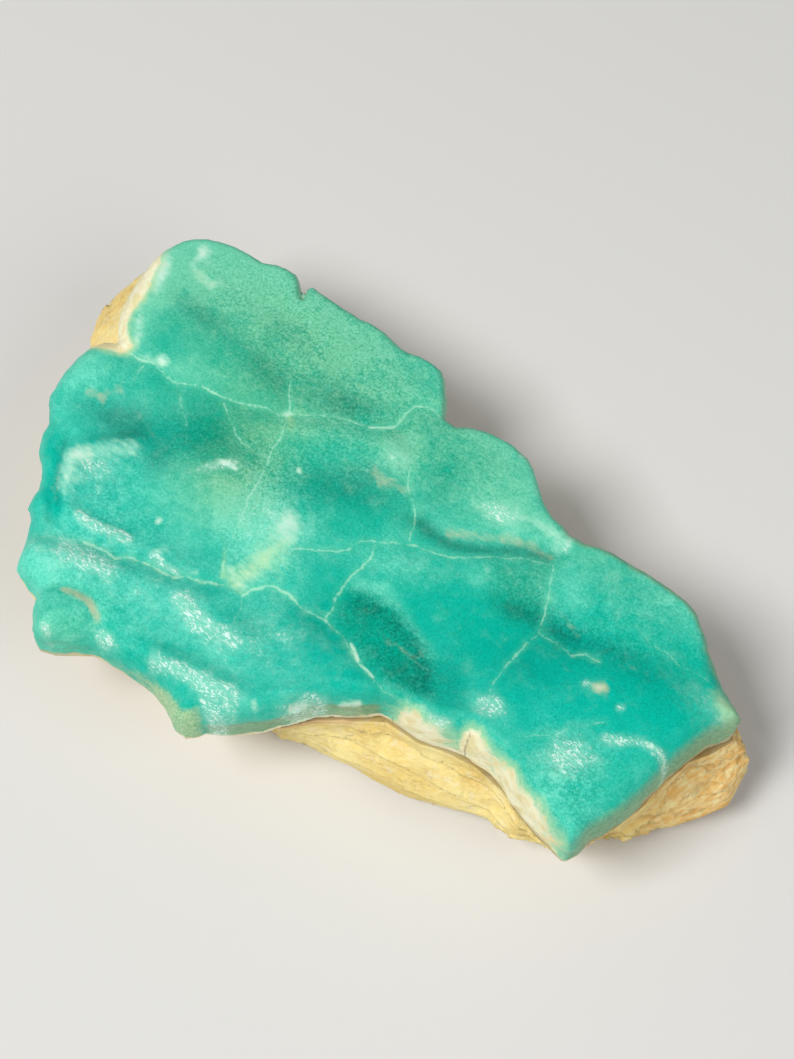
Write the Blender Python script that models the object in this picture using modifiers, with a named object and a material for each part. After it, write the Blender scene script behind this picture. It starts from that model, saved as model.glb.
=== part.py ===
"""Rough aragonite: a wavy turquoise crust grown on a block of tan bedded limestone.

The specimen lies with its crust up. X runs along its length, Z is up, and the origin is
under its middle, on the surface that the limestone rests on.
"""
import math

import bmesh
import bpy
import numpy as np
from mathutils import Vector, noise

MM = 0.001

# Heights above the resting surface, in millimetres.
SEAM_HEIGHT = 18.0
CRUST_TOP = 27.0
SEAM_GAP = 0.3
LEAST_CRUST = 3.0

# At the upper left the limestone stands out past the crust's rim as a sloping shelf: how
# steeply it falls away, the x and y past which it starts, and over how far it fades in.
SHELF_DROP = 0.8
SHELF_RIGHT = -33.0
SHELF_NEAR = 28.0
SHELF_FADE = 4.0

# Each piece is shaped with even facets of this size, in millimetres, and then thinned to
# about this many triangles.
FORM_FACET = 1.1
CRUST_TRIANGLES = 5400
MATRIX_TRIANGLES = 4400

# The flat spot under the middle of the limestone that the specimen rests on.
SPOT_CENTRE = (-3.0, 1.0)
SPOT_RADII = (26.0, 17.0)
SPOT_LIFT = 2.4
SPOT_FADE = 14.0
SPOT_FLATNESS = 0.05

# Where the underside of the limestone rises further: x, y, reach and rise.
UNDERSIDE_RISES = [
    (-38.0, 42.0, 11.0, 5.5),
    (-52.0, -2.0, 9.0, 5.0),
    (-12.0, 42.0, 9.0, 3.0),
    (24.0, 14.0, 8.0, 3.4),
    (44.0, -10.0, 9.0, 4.4),
    (25.0, -44.0, 7.0, 3.6),
    (-34.0, -20.0, 8.0, 3.0),
    (54.0, -30.0, 7.0, 1.6),
]

# Rim of the crust seen from above, clockwise from the corner where the limestone shows, in
# millimetres.
CRUST_RIM = [
    (-41.2, 33.4), (-41.4, 36.0), (-41.2, 38.8), (-40.4, 41.4), (-39.4, 43.6), (-38.2, 45.6),
    (-37.0, 47.2), (-35.6, 48.6), (-33.8, 49.9), (-31.6, 51.1), (-29.6, 51.4), (-27.6, 51.3),
    (-25.6, 50.8), (-23.0, 49.8), (-20.8, 48.3), (-18.8, 47.0), (-16.6, 46.6), (-14.9, 45.8),
    (-13.6, 44.8), (-13.1, 43.6), (-12.9, 42.0), (-12.6, 40.3), (-12.2, 41.3), (-11.8, 42.2),
    (-11.1, 42.6), (-9.4, 41.3), (-7.4, 39.9), (-5.4, 38.2), (-3.6, 36.8), (-1.8, 36.1),
    (0.2, 34.4), (2.2, 32.2), (3.8, 31.0), (5.6, 30.4), (7.6, 29.2), (8.9, 27.8), (9.4, 25.6),
    (9.5, 22.6), (9.3, 19.6), (11.0, 18.2), (13.2, 17.8), (15.4, 17.2), (17.8, 16.0),
    (19.8, 14.6), (21.4, 12.8), (22.5, 10.6), (23.1, 7.8), (23.9, 5.0), (25.0, 2.8), (26.3, 1.6),
    (27.3, 0.2), (28.5, -0.5), (29.4, -1.2), (31.4, -1.7), (34.2, -3.1), (36.6, -4.9),
    (39.2, -6.5), (41.6, -8.4), (43.9, -10.2), (45.4, -12.6), (46.3, -15.2), (46.8, -18.0),
    (47.9, -20.9), (49.2, -23.6), (50.6, -25.8), (51.2, -27.4), (50.3, -28.4), (47.0, -29.6),
    (44.5, -31.4), (42.5, -33.0), (40.5, -34.8), (38.5, -36.8), (36.5, -38.8), (34.0, -41.0),
    (31.0, -42.8), (29.0, -44.0), (27.4, -45.6), (25.6, -46.4), (24.0, -44.8), (22.0, -42.5),
    (20.0, -40.2), (18.5, -38.0), (17.0, -35.5), (15.5, -33.5), (13.5, -32.3), (12.0, -31.0),
    (9.5, -30.0), (7.0, -29.3), (5.0, -28.5), (2.5, -26.7), (0.8, -25.5), (-0.5, -24.9),
    (-2.5, -25.2), (-5.0, -25.2), (-7.5, -25.0), (-10.0, -25.1), (-12.5, -26.0), (-15.0, -26.6),
    (-17.5, -27.5), (-20.0, -27.8), (-23.0, -27.9), (-26.0, -27.6), (-27.2, -28.2),
    (-28.9, -28.3), (-30.2, -27.4), (-31.2, -25.4), (-32.3, -23.5), (-34.0, -21.4),
    (-36.4, -19.6), (-38.8, -18.0), (-40.6, -16.9), (-42.8, -15.7), (-46.0, -15.6),
    (-49.0, -15.6), (-50.8, -15.0), (-51.4, -13.4), (-51.5, -10.8), (-51.1, -8.2),
    (-52.4, -6.6), (-54.2, -4.4), (-54.0, -2.9), (-53.4, -0.4), (-52.9, 2.1), (-52.7, 3.9),
    (-53.2, 5.7), (-52.6, 7.2), (-51.5, 8.6), (-51.3, 10.4), (-51.7, 13.2), (-52.1, 15.7),
    (-51.9, 18.0), (-51.2, 19.8), (-51.4, 22.6), (-51.2, 24.6), (-50.0, 26.6), (-48.3, 28.9),
    (-45.8, 32.2), (-43.2, 33.6),
]

# How the crust rolls off at its rim: a place, its reach, how far in the roll starts and how
# deep it falls. The first line is the rim where nothing else is said.
RIM_ROLL = [
    (0.0, 0.0, 0.0, 1.4, 1.8),
    (-40.0, -18.0, 9.0, 6.0, 6.5),
    (-30.0, -26.0, 6.0, 5.0, 6.5),
    (-51.0, -12.0, 5.0, 3.4, 5.6),
    (-53.0, 2.0, 6.0, 3.2, 4.6),
    (-50.0, 22.0, 8.0, 4.4, 4.4),
    (-42.0, 42.0, 7.0, 3.4, 6.4),
    (-5.0, -25.0, 8.0, 2.6, 5.0),
    (12.0, -31.0, 8.0, 3.2, 6.0),
    (24.0, -44.0, 6.0, 3.2, 5.8),
    (38.0, -37.0, 8.0, 4.4, 5.6),
    (50.0, -27.0, 5.0, 4.6, 5.6),
]

# Rounded hills and hollows of the crust: x, y, radius along, radius across, turn in degrees
# and height, negative where it sinks.
HILLS = [
    (-27.0, 30.5, 10.0, 4.6, -38.0, 0.8),
    (-24.0, 38.0, 12.0, 9.0, -25.0, 0.6),
    (-3.0, 27.0, 9.0, 4.0, -38.0, 0.6),
    (-31.5, 46.0, 4.0, 4.0, 0.0, 0.5),
    (-15.0, 31.0, 3.0, 8.0, 20.0, -0.4),
    (-45.0, 27.0, 5.0, 3.6, 35.0, 0.9),
    (-41.0, 18.6, 5.0, 3.0, -20.0, -1.1),
    (-38.0, 6.0, 5.0, 4.4, 0.0, -0.9),
    (-25.0, 8.0, 5.4, 5.8, 0.0, 1.2),
    (-14.0, 3.0, 4.4, 4.4, 0.0, 0.8),
    (-8.0, 15.5, 7.0, 3.0, -12.0, 0.6),
    (-6.0, 8.5, 8.5, 2.4, -15.0, -0.7),
    (-17.0, -4.4, 5.0, 2.6, 30.0, 0.5),
    (13.0, 8.6, 8.6, 6.0, -25.0, 1.3),
    (1.5, 12.6, 3.0, 3.6, 0.0, 0.6),
    (1.5, -15.0, 8.0, 3.2, -52.0, -0.7),
    (-7.0, -18.0, 7.0, 2.6, -52.0, 0.5),
    (12.0, -11.0, 7.5, 7.5, 0.0, -0.5),
    (34.0, -9.0, 11.0, 6.0, -35.0, 0.9),
    (27.0, -15.0, 5.0, 2.4, -25.0, -0.6),
    (27.0, -26.0, 9.0, 7.0, -20.0, 0.7),
    (38.0, -29.0, 6.0, 4.0, -45.0, 0.6),
    (-45.5, -12.8, 3.8, 3.4, 0.0, 1.2),
    (-10.0, -19.0, 8.0, 4.6, -10.0, 0.5),
]

# Creases (negative) and crests (positive) of the crust: height, half width, then the points
# that it runs through.
FOLDS = [
    (-0.4, 1.8, [(-44.0, 32.6), (-39.5, 30.5), (-34.6, 28.0), (-31.8, 25.1), (-27.0, 24.1),
                 (-21.5, 21.3), (-15.5, 19.8), (-10.0, 19.5), (-5.0, 18.5), (-1.0, 17.3),
                 (1.8, 17.4), (4.7, 21.2), (9.5, 19.0)]),
    (-0.4, 1.8, [(-53.0, 0.4), (-48.0, 0.3), (-44.5, -0.7), (-39.0, -3.8), (-35.0, -4.4),
                 (-32.0, -6.0), (-26.7, -7.4), (-23.5, -7.7)]),
    (-0.2, 1.5, [(-14.2, 19.6), (-16.6, 13.5), (-18.3, 8.5), (-21.0, 2.0), (-22.8, -3.5),
                 (-23.6, -7.0)]),
    (-0.15, 1.6, [(-13.0, -2.2), (-5.3, -2.3), (-2.5, -1.0), (4.0, -1.5), (10.0, -3.3),
                  (16.0, -3.4), (24.4, -4.6)]),
    (-0.15, 1.5, [(-1.3, -1.5), (-4.5, -6.0), (-7.5, -11.0), (-8.5, -13.0)]),
    (-0.25, 1.5, [(-20.5, -9.6), (-16.0, -8.3), (-11.5, -12.0), (-7.5, -14.8), (-4.2, -19.5),
                  (0.0, -24.0)]),
    (-0.2, 1.6, [(24.6, -4.5), (22.9, -12.0), (22.2, -15.3), (17.0, -20.8), (13.4, -26.6)]),
    (-0.15, 1.6, [(22.2, -15.3), (26.5, -18.8), (30.5, -20.0), (38.0, -21.5)]),
    (-0.25, 1.5, [(1.8, 17.4), (5.1, 12.8), (3.4, 8.0), (4.5, 3.0), (3.7, -1.0)]),
    (0.8, 1.7, [(-46.8, 4.5), (-46.9, 9.0), (-46.2, 12.6), (-44.0, 14.6), (-40.5, 15.2),
                (-37.0, 15.4)]),
    (-0.6, 0.9, [(-48.9, 3.0), (-49.0, 8.0), (-48.6, 14.0), (-47.0, 16.6)]),
    (0.45, 1.2, [(-46.0, 3.6), (-41.0, 1.0), (-37.3, -1.0)]),
    (-0.7, 1.8, [(4.4, 3.4), (6.5, 1.0), (10.0, -0.8), (15.0, -2.0), (21.0, -2.4),
                 (25.5, -2.6)]),
    (1.0, 2.6, [(-51.0, -3.0), (-44.0, -4.6), (-37.0, -7.0), (-30.0, -9.8), (-25.0, -13.0),
                (-20.5, -16.4)]),
    (-0.45, 2.2, [(-41.0, -14.6), (-36.0, -15.4), (-30.0, -17.2), (-25.0, -19.4),
                  (-22.0, -21.0)]),
    (0.8, 2.0, [(-38.0, -17.0), (-33.0, -18.8), (-27.0, -21.4), (-22.0, -24.2)]),
    (-0.6, 1.3, [(-51.0, -7.6), (-47.0, -7.6), (-43.6, -8.8), (-41.4, -11.4), (-40.8, -14.4)]),
    (0.4, 1.4, [(-19.0, -25.6), (-12.0, -24.4), (-3.0, -24.2), (3.0, -25.0), (9.0, -27.6),
                (13.0, -28.6)]),
]

# Rim of the limestone at the seam, clockwise from the upper left: x, y, then how far the wall
# stands out there at half height and near the base, negative where it is undercut.
MATRIX_WALL = [
    (-46.4, 35.8, 0.6, -1.0), (-47.0, 39.0, 0.6, -0.8), (-46.2, 43.0, 0.5, -1.0),
    (-44.0, 46.4, 0.4, -1.4), (-41.4, 48.4, 0.3, -2.0), (-38.8, 49.7, 0.2, -2.6),
    (-35.6, 49.6, -0.2, -3.0), (-31.0, 50.2, -0.6, -3.4),
    (-25.0, 49.2, 0.2, -2.6), (-19.0, 45.8, -1.2, -4.6), (-13.6, 42.3, -2.2, -6.0),
    (-8.0, 39.4, -0.4, -3.0), (-2.0, 34.8, 0.4, -1.4), (3.5, 30.0, -0.8, -3.6),
    (8.2, 26.3, -0.2, -2.2), (8.4, 20.3, -1.6, -4.4), (14.5, 16.6, -0.4, -3.6),
    (20.0, 13.2, 0.4, -1.6), (22.0, 8.0, 0.0, -2.4), (24.4, 1.8, -1.2, -4.0),
    (30.0, -2.0, -0.2, -2.4), (36.5, -5.6, 0.6, -1.2), (42.3, -9.8, 0.0, -2.8),
    (45.4, -14.6, 0.4, -1.0), (47.2, -18.0, 0.6, -0.6), (49.2, -21.6, 1.4, 0.6),
    (51.0, -25.0, 2.6, 2.2), (51.4, -28.0, 3.4, 4.0), (48.6, -29.6, 5.0, 6.0),
    (44.5, -31.4, 4.6, 6.0), (40.5, -34.8, 3.4, 4.6),
    (36.5, -38.8, 1.4, 1.4), (32.0, -42.2, 0.0, -0.6), (28.4, -44.4, -0.2, -1.6),
    (25.6, -46.2, -1.0, -3.6), (22.8, -43.4, 0.2, -0.8), (20.0, -40.2, 1.2, 1.4),
    (17.0, -35.6, 1.8, 2.4), (13.5, -32.4, 2.8, 4.0), (9.5, -30.2, 3.2, 4.6),
    (5.0, -28.6, 3.0, 4.6), (0.2, -25.4, 3.6, 5.2), (-5.0, -25.3, 2.0, 3.2),
    (-10.0, -25.2, 1.0, 1.8), (-15.0, -26.4, -0.6, -2.2), (-20.0, -27.4, -3.4, -6.6),
    (-25.0, -25.2, -3.6, -6.6), (-30.5, -21.0, -3.6, -6.0), (-37.0, -15.6, -3.0, -5.6),
    (-43.5, -12.4, -2.6, -5.2), (-49.0, -9.6, -2.0, -5.0), (-53.6, -5.2, -0.6, -3.2),
    (-52.4, 0.5, -1.0, -3.6), (-51.0, 7.0, -1.6, -4.8), (-50.6, 14.0, -1.2, -4.0),
    (-50.2, 21.5, -1.4, -4.6), (-48.0, 27.6, -0.6, -2.4), (-46.6, 31.6, 0.2, -1.4),
]

# Broken faces of the limestone: how wide a scoop is, how deep, the height and depth of the
# ledges that its bedding leaves, the share of the height above which they fade out, and how
# far in from the wall all this reaches.
SCOOP_SIZE = 9.0
SCOOP_DEPTH = 1.6
LEDGE_STEP = 5.0
LEDGE_DEPTH = 0.9
BEDDING_DIP = 0.12
SEAM_EDGE = 0.72
WALL_REACH = 7.0
WALL_BLEND = 3.0


def bend(value):
    """Smooth step from 0 to 1."""
    value = np.clip(value, 0.0, 1.0)
    return value * value * (3.0 - 2.0 * value)


def line_distance(points, x, y):
    """Distance from each (x, y) to a chain of straight runs."""
    nearest = np.full(x.shape, 1.0e9)
    for (x0, y0), (x1, y1) in zip(points[:-1], points[1:]):
        run_x = x1 - x0
        run_y = y1 - y0
        along = ((x - x0) * run_x + (y - y0) * run_y) / (run_x * run_x + run_y * run_y)
        along = np.clip(along, 0.0, 1.0)
        gap = np.hypot(x - x0 - along * run_x, y - y0 - along * run_y)
        nearest = np.minimum(nearest, gap)
    return nearest


def shelf(x, y):
    """How far outside the crust's rim each (x, y) is on the shelf at the upper left."""
    closed = CRUST_RIM + CRUST_RIM[:1]
    inside = np.zeros(x.shape, bool)
    for (x0, y0), (x1, y1) in zip(closed[:-1], closed[1:]):
        if y0 != y1:
            passes = (y0 > y) != (y1 > y)
            inside ^= passes & (x < x0 + (y - y0) * (x1 - x0) / (y1 - y0))
    upper_left = bend((SHELF_RIGHT - x) / SHELF_FADE) * bend((y - SHELF_NEAR) / SHELF_FADE)
    return upper_left * np.where(inside, 0.0, line_distance(closed, x, y))


def seam_surface(x, y):
    """Height of the gently waved surface where the crust grew on the limestone."""
    wave = 0.8 * np.sin(x / 14.0 + 0.7) * np.cos(y / 17.0 + 0.4)
    return SEAM_HEIGHT + 0.045 * y - 0.012 * x + wave


def underside(x, y):
    """Height of the limestone's underside, nothing over the flat spot."""
    away = np.hypot((x - SPOT_CENTRE[0]) / SPOT_RADII[0], (y - SPOT_CENTRE[1]) / SPOT_RADII[1])
    past_spot = bend((away - 1.0) * min(SPOT_RADII) / SPOT_FADE)
    height = SPOT_LIFT * past_spot
    for rise_x, rise_y, reach, rise in UNDERSIDE_RISES:
        near = np.exp(-((x - rise_x) ** 2 + (y - rise_y) ** 2) / (2.0 * reach ** 2))
        height += rise * near * past_spot
    return height


def rim_roll(x, y):
    """How far in the crust starts to roll off, and how deep it falls, near each (x, y)."""
    start = np.full(x.shape, RIM_ROLL[0][3])
    fall = np.full(x.shape, RIM_ROLL[0][4])
    for place_x, place_y, reach, place_start, place_fall in RIM_ROLL[1:]:
        weight = np.exp(-((x - place_x) ** 2 + (y - place_y) ** 2) / (2.0 * reach ** 2))
        start += weight * (place_start - start)
        fall += weight * (place_fall - fall)
    return start, fall


def crust_surface(x, y, inset):
    """Height of the crust's wavy top, which rolls off where inset, the way in, is small."""
    height = np.full(x.shape, CRUST_TOP)
    for hill_x, hill_y, along, across, turn, rise in HILLS:
        cos_turn = math.cos(math.radians(turn))
        sin_turn = math.sin(math.radians(turn))
        run = (x - hill_x) * cos_turn + (y - hill_y) * sin_turn
        side = (y - hill_y) * cos_turn - (x - hill_x) * sin_turn
        height += rise * np.exp(-0.5 * ((run / along) ** 2 + (side / across) ** 2))
    for rise, half_width, points in FOLDS:
        height += rise * np.exp(-(line_distance(points, x, y) / half_width) ** 2)
    start, fall = rim_roll(x, y)
    share = np.clip(1.0 - inset / start, 0.0, 1.0)
    return height - fall * (1.0 - np.sqrt(1.0 - share ** 2))


def read_points(mesh):
    """The mesh's points as an array of millimetres."""
    flat = np.empty(len(mesh.vertices) * 3)
    mesh.vertices.foreach_get("co", flat)
    return flat.reshape(-1, 3) / MM


def write_points(mesh, points):
    mesh.vertices.foreach_set("co", (points * MM).ravel())
    mesh.update()


def evaluated_mesh(source, name):
    """A plain mesh of what an object's modifiers give, in place of the object."""
    graph = bpy.context.evaluated_depsgraph_get()
    mesh = bpy.data.meshes.new_from_object(source.evaluated_get(graph))
    mesh.name = name
    data = source.data
    bpy.data.objects.remove(source)
    if isinstance(data, bpy.types.Curve):
        bpy.data.curves.remove(data)
    else:
        bpy.data.meshes.remove(data)
    return mesh


def remeshed(mesh):
    """The same solid with even facets."""
    source = bpy.data.objects.new("blank", mesh)
    bpy.context.scene.collection.objects.link(source)
    remesh = source.modifiers.new("even facets", "REMESH")
    remesh.mode = "VOXEL"
    remesh.voxel_size = FORM_FACET * MM
    remesh.adaptivity = 0.0
    return evaluated_mesh(source, "even blank")


def thinned(mesh, triangles):
    """The same solid with about this many triangles, fewest where it is flattest."""
    source = bpy.data.objects.new("blank", mesh)
    bpy.context.scene.collection.objects.link(source)
    thin = source.modifiers.new("fewer facets", "DECIMATE")
    thin.decimate_type = "COLLAPSE"
    thin.ratio = triangles / (2.0 * len(mesh.polygons))
    thin.use_collapse_triangulate = True
    return evaluated_mesh(source, "thinned")


def plate_from_rim(name, rim, thickness):
    """A plate with the rim's outline, from height 0 up."""
    curve = bpy.data.curves.new(name, "CURVE")
    curve.dimensions = "2D"
    curve.fill_mode = "BOTH"
    curve.extrude = thickness * MM / 2.0
    spline = curve.splines.new("POLY")
    spline.points.add(len(rim) - 1)
    for point, (x, y) in zip(spline.points, rim):
        point.co = (x * MM, y * MM, 0.0, 1.0)
    spline.use_cyclic_u = True
    source = bpy.data.objects.new(name, curve)
    bpy.context.scene.collection.objects.link(source)
    mesh = evaluated_mesh(source, name)
    shell = bmesh.new()
    shell.from_mesh(mesh)
    bmesh.ops.remove_doubles(shell, verts=shell.verts, dist=0.00001)
    bmesh.ops.translate(shell, verts=shell.verts, vec=(0.0, 0.0, thickness * MM / 2.0))
    shell.to_mesh(mesh)
    shell.free()
    return mesh


def make_crust():
    """The turquoise crust: a plate whose faces are moved to the seam and the wavy top."""
    plate = CRUST_TOP - SEAM_HEIGHT
    mesh = remeshed(plate_from_rim("crust blank", CRUST_RIM, plate))
    points = read_points(mesh)
    x, y = points[:, 0], points[:, 1]
    share = np.clip(points[:, 2] / plate, 0.0, 1.0)
    inset = line_distance(CRUST_RIM + CRUST_RIM[:1], x, y)
    bottom = seam_surface(x, y)
    top = np.maximum(crust_surface(x, y, inset), bottom + LEAST_CRUST)
    points[:, 2] = bottom + share * (top - bottom)
    write_points(mesh, points)
    return thinned(mesh, CRUST_TRIANGLES)


def wall_outward():
    """The way out at each place of the limestone's wall, seen from above."""
    outward = []
    for index in range(len(MATRIX_WALL)):
        before = Vector(MATRIX_WALL[index - 1][:2])
        after = Vector(MATRIX_WALL[(index + 1) % len(MATRIX_WALL)][:2])
        along = (after - before).normalized()
        outward.append(Vector((-along.y, along.x)))
    return outward


def wall_rings():
    """The limestone's outline at four heights, each ring with the same number of points."""
    rings = []
    for height, half_share, base_share in ((0.0, 0.0, 1.0), (0.25, 0.1, 1.0),
                                           (0.6, 1.0, 0.0), (1.0, 0.0, 0.0)):
        ring = []
        for (x, y, half, base), outward in zip(MATRIX_WALL, wall_outward()):
            place = Vector((x, y)) + outward * (half * half_share + base * base_share)
            ring.append((place.x, place.y, height * SEAM_HEIGHT))
        rings.append(ring)
    return rings


def make_matrix_blank():
    """The limestone block before its faces are broken: a loft through the wall's rings."""
    shell = bmesh.new()
    loops = []
    for ring in wall_rings():
        loops.append([shell.verts.new((x * MM, y * MM, z * MM)) for x, y, z in ring])
    count = len(loops[0])
    for lower, upper in zip(loops[:-1], loops[1:]):
        for index in range(count):
            after = (index + 1) % count
            shell.faces.new((lower[index], upper[index], upper[after], lower[after]))
    caps = [shell.faces.new(loops[0]), shell.faces.new(loops[-1][::-1])]
    bmesh.ops.triangulate(shell, faces=caps)
    bmesh.ops.recalc_face_normals(shell, faces=shell.faces)
    mesh = bpy.data.meshes.new("limestone blank")
    shell.to_mesh(mesh)
    shell.free()
    return mesh


def broken_depth(place):
    """How far the broken face is scooped in at a place, in millimetres."""
    apart, centres = noise.voronoi(Vector(place) / SCOOP_SIZE)
    scoop = SCOOP_DEPTH * (1.0 - min(apart[0] / 0.8, 1.0) ** 2)
    level = place[2] + BEDDING_DIP * place[0] + 1.5 * noise.noise(Vector(place) / 14.0)
    ledge = LEDGE_DEPTH * (level / LEDGE_STEP % 1.0)
    return scoop + ledge


def wall_push(x, y):
    """The inward direction near the wall, as long as a push counts there, for each (x, y)."""
    push = np.zeros((len(x), 2))
    for (wall_x, wall_y, half, base), outward in zip(MATRIX_WALL, wall_outward()):
        near = np.exp(-((x - wall_x) ** 2 + (y - wall_y) ** 2) / (2.0 * WALL_BLEND ** 2)) + 1.0e-9
        push -= near[:, None] * np.array(outward)
    push /= np.linalg.norm(push, axis=1)[:, None]
    wall = [place[:2] for place in MATRIX_WALL + MATRIX_WALL[:1]]
    fade = bend(1.0 - line_distance(wall, x, y) / WALL_REACH)
    return push * fade[:, None]


def make_matrix():
    """The limestone: the blank with scooped and ledged walls, a flat spot and the seam."""
    mesh = remeshed(make_matrix_blank())
    points = read_points(mesh)
    depth = np.array([broken_depth(place) for place in points])
    depth *= 1.0 - bend((points[:, 2] / SEAM_HEIGHT - SEAM_EDGE) / (1.0 - SEAM_EDGE))
    points[:, :2] += wall_push(points[:, 0], points[:, 1]) * depth[:, None]
    x, y = points[:, 0], points[:, 1]
    share = np.clip(points[:, 2] / SEAM_HEIGHT, 0.0, 1.0)
    bottom = underside(x, y)
    top = seam_surface(x, y) - SEAM_GAP - SHELF_DROP * shelf(x, y)
    points[:, 2] = bottom + share * (top - bottom)
    write_points(mesh, points)
    mesh = thinned(mesh, MATRIX_TRIANGLES)
    points = read_points(mesh)
    points[points[:, 2] < SPOT_FLATNESS, 2] = 0.0
    write_points(mesh, points)
    return mesh


def make_material(name, colour, roughness):
    material = bpy.data.materials.new(name)
    material.use_nodes = True
    shader = material.node_tree.nodes["Principled BSDF"]
    shader.inputs["Base Color"].default_value = (*colour, 1.0)
    shader.inputs["Roughness"].default_value = roughness
    shader.inputs["Metallic"].default_value = 0.0
    material.diffuse_color = (*colour, 1.0)
    return material


def add_piece(collection, name, mesh, material):
    mesh.name = name
    mesh.materials.clear()
    mesh.materials.append(material)
    mesh.shade_smooth()
    mesh.set_sharp_from_angle(angle=math.radians(40.0))
    piece = bpy.data.objects.new(name, mesh)
    collection.objects.link(piece)
    return piece


def build():
    for leftover in list(bpy.data.objects):
        bpy.data.objects.remove(leftover)
    collection = bpy.data.collections.new("rough aragonite")
    bpy.context.scene.collection.children.link(collection)
    turquoise = make_material("turquoise aragonite", (0.06, 0.52, 0.43), 0.35)
    tan_stone = make_material("tan limestone", (0.72, 0.52, 0.27), 0.85)
    add_piece(collection, "aragonite_crust", make_crust(), turquoise)
    add_piece(collection, "limestone_matrix", make_matrix(), tan_stone)


build()
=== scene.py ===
import math

import bmesh
import bpy
import numpy as np
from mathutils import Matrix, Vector, noise


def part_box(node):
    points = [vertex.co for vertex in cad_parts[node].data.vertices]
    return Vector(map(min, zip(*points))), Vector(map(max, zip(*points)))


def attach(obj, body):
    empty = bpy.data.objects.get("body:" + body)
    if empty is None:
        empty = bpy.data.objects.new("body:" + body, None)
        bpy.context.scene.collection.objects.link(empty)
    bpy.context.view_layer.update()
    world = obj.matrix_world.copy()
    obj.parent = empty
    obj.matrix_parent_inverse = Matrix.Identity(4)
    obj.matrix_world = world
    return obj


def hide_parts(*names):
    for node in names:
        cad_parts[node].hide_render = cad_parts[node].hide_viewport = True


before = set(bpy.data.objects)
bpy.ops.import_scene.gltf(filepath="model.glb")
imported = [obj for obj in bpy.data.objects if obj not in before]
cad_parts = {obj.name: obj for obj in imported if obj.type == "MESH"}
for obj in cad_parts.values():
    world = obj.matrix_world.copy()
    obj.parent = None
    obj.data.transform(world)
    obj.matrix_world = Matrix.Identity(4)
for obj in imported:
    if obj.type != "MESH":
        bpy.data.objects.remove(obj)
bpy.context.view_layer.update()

mm = 0.001
noise.seed_set(7)   # without a seed, noise_vector draws other offsets in each run

# The camera stands in front of the specimen and looks steeply down on it.
view = {
    "target": (0.0, 0.0, 14.0),   # mm
    "distance": 300.0,            # mm
    "elevation": 67.0,            # degrees
    "focal": 1973.7,              # px of the 794 x 1059 picture
    "imageSize": (794, 1059),
    "targetPixel": (384, 569),
}


def addObject(name, data):
    made = bpy.data.objects.new(name, data)
    bpy.context.scene.collection.objects.link(made)
    return made


print("camera")
sight = math.radians(view["elevation"])
away = view["distance"]
cameraData = bpy.data.cameras.new("camera")
camera = addObject("camera", cameraData)
camera.location = (
    view["target"][0] * mm,
    (view["target"][1] - away * math.cos(sight)) * mm,
    (view["target"][2] + away * math.sin(sight)) * mm,
)
camera.rotation_euler = (math.pi / 2.0 - sight, 0.0, 0.0)
imageWidth, imageHeight = view["imageSize"]
cameraData.sensor_width = 36.0
cameraData.lens = view["focal"] * cameraData.sensor_width / imageHeight
cameraData.shift_x = (imageWidth / 2.0 - view["targetPixel"][0]) / imageHeight
cameraData.shift_y = (view["targetPixel"][1] - imageHeight / 2.0) / imageHeight
cameraData.clip_start = 0.01
bpy.context.scene.camera = camera


# Numbers and lines on the mesh, all in millimetres.

def bend(value):
    value = np.clip(value, 0.0, 1.0)
    return value * value * (3.0 - 2.0 * value)


def nearestOnLine(points, x, y):
    # the way from each (x, y) to the nearest place on a chain of straight runs
    best = np.full(x.shape, 1.0e9)
    wayX = np.zeros(x.shape)
    wayY = np.zeros(x.shape)
    for (x0, y0), (x1, y1) in zip(points[:-1], points[1:]):
        runX = x1 - x0
        runY = y1 - y0
        along = ((x - x0) * runX + (y - y0) * runY) / (runX * runX + runY * runY)
        along = np.clip(along, 0.0, 1.0)
        toX = x0 + along * runX - x
        toY = y0 + along * runY - y
        gap = np.hypot(toX, toY)
        closer = gap < best
        best = np.where(closer, gap, best)
        wayX = np.where(closer, toX, wayX)
        wayY = np.where(closer, toY, wayY)
    return best, wayX, wayY


def lineDistance(points, x, y):
    return nearestOnLine(points, x, y)[0]


def closed(outline):
    return outline + outline[:1]


def insideBy(outline, x, y):
    # how far inside a closed outline each (x, y) is, negative outside it
    ring = closed(outline)
    inside = np.zeros(x.shape, bool)
    for (x0, y0), (x1, y1) in zip(ring[:-1], ring[1:]):
        if y0 != y1:
            passes = (y0 > y) != (y1 > y)
            inside ^= passes & (x < x0 + (y - y0) * (x1 - x0) / (y1 - y0))
    gap = lineDistance(ring, x, y)
    return np.where(inside, gap, -gap)


def mound(x, y, place):
    # a rounded spot: x, y, radius along, radius across, turn, then its height or strength
    spotX, spotY, along, across, turn, amount = place
    cosTurn = math.cos(math.radians(turn))
    sinTurn = math.sin(math.radians(turn))
    run = (x - spotX) * cosTurn + (y - spotY) * sinTurn
    side = (y - spotY) * cosTurn - (x - spotX) * sinTurn
    return amount * np.exp(-0.5 * ((run / along) ** 2 + (side / across) ** 2))


def grain(points, size, shift=0.0):
    # smooth noise from -1 to 1 with lumps of about this size
    offset = Vector((shift, shift * 1.7, shift * 0.6))
    return np.array([noise.noise(Vector(place) / size + offset) for place in points])


def worms(points, size):
    # winding ridges from 0 to 1, like a finely crinkled skin
    return 0.5 + 0.5 * np.sin(9.0 * grain(points, size * 2.4))


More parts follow.
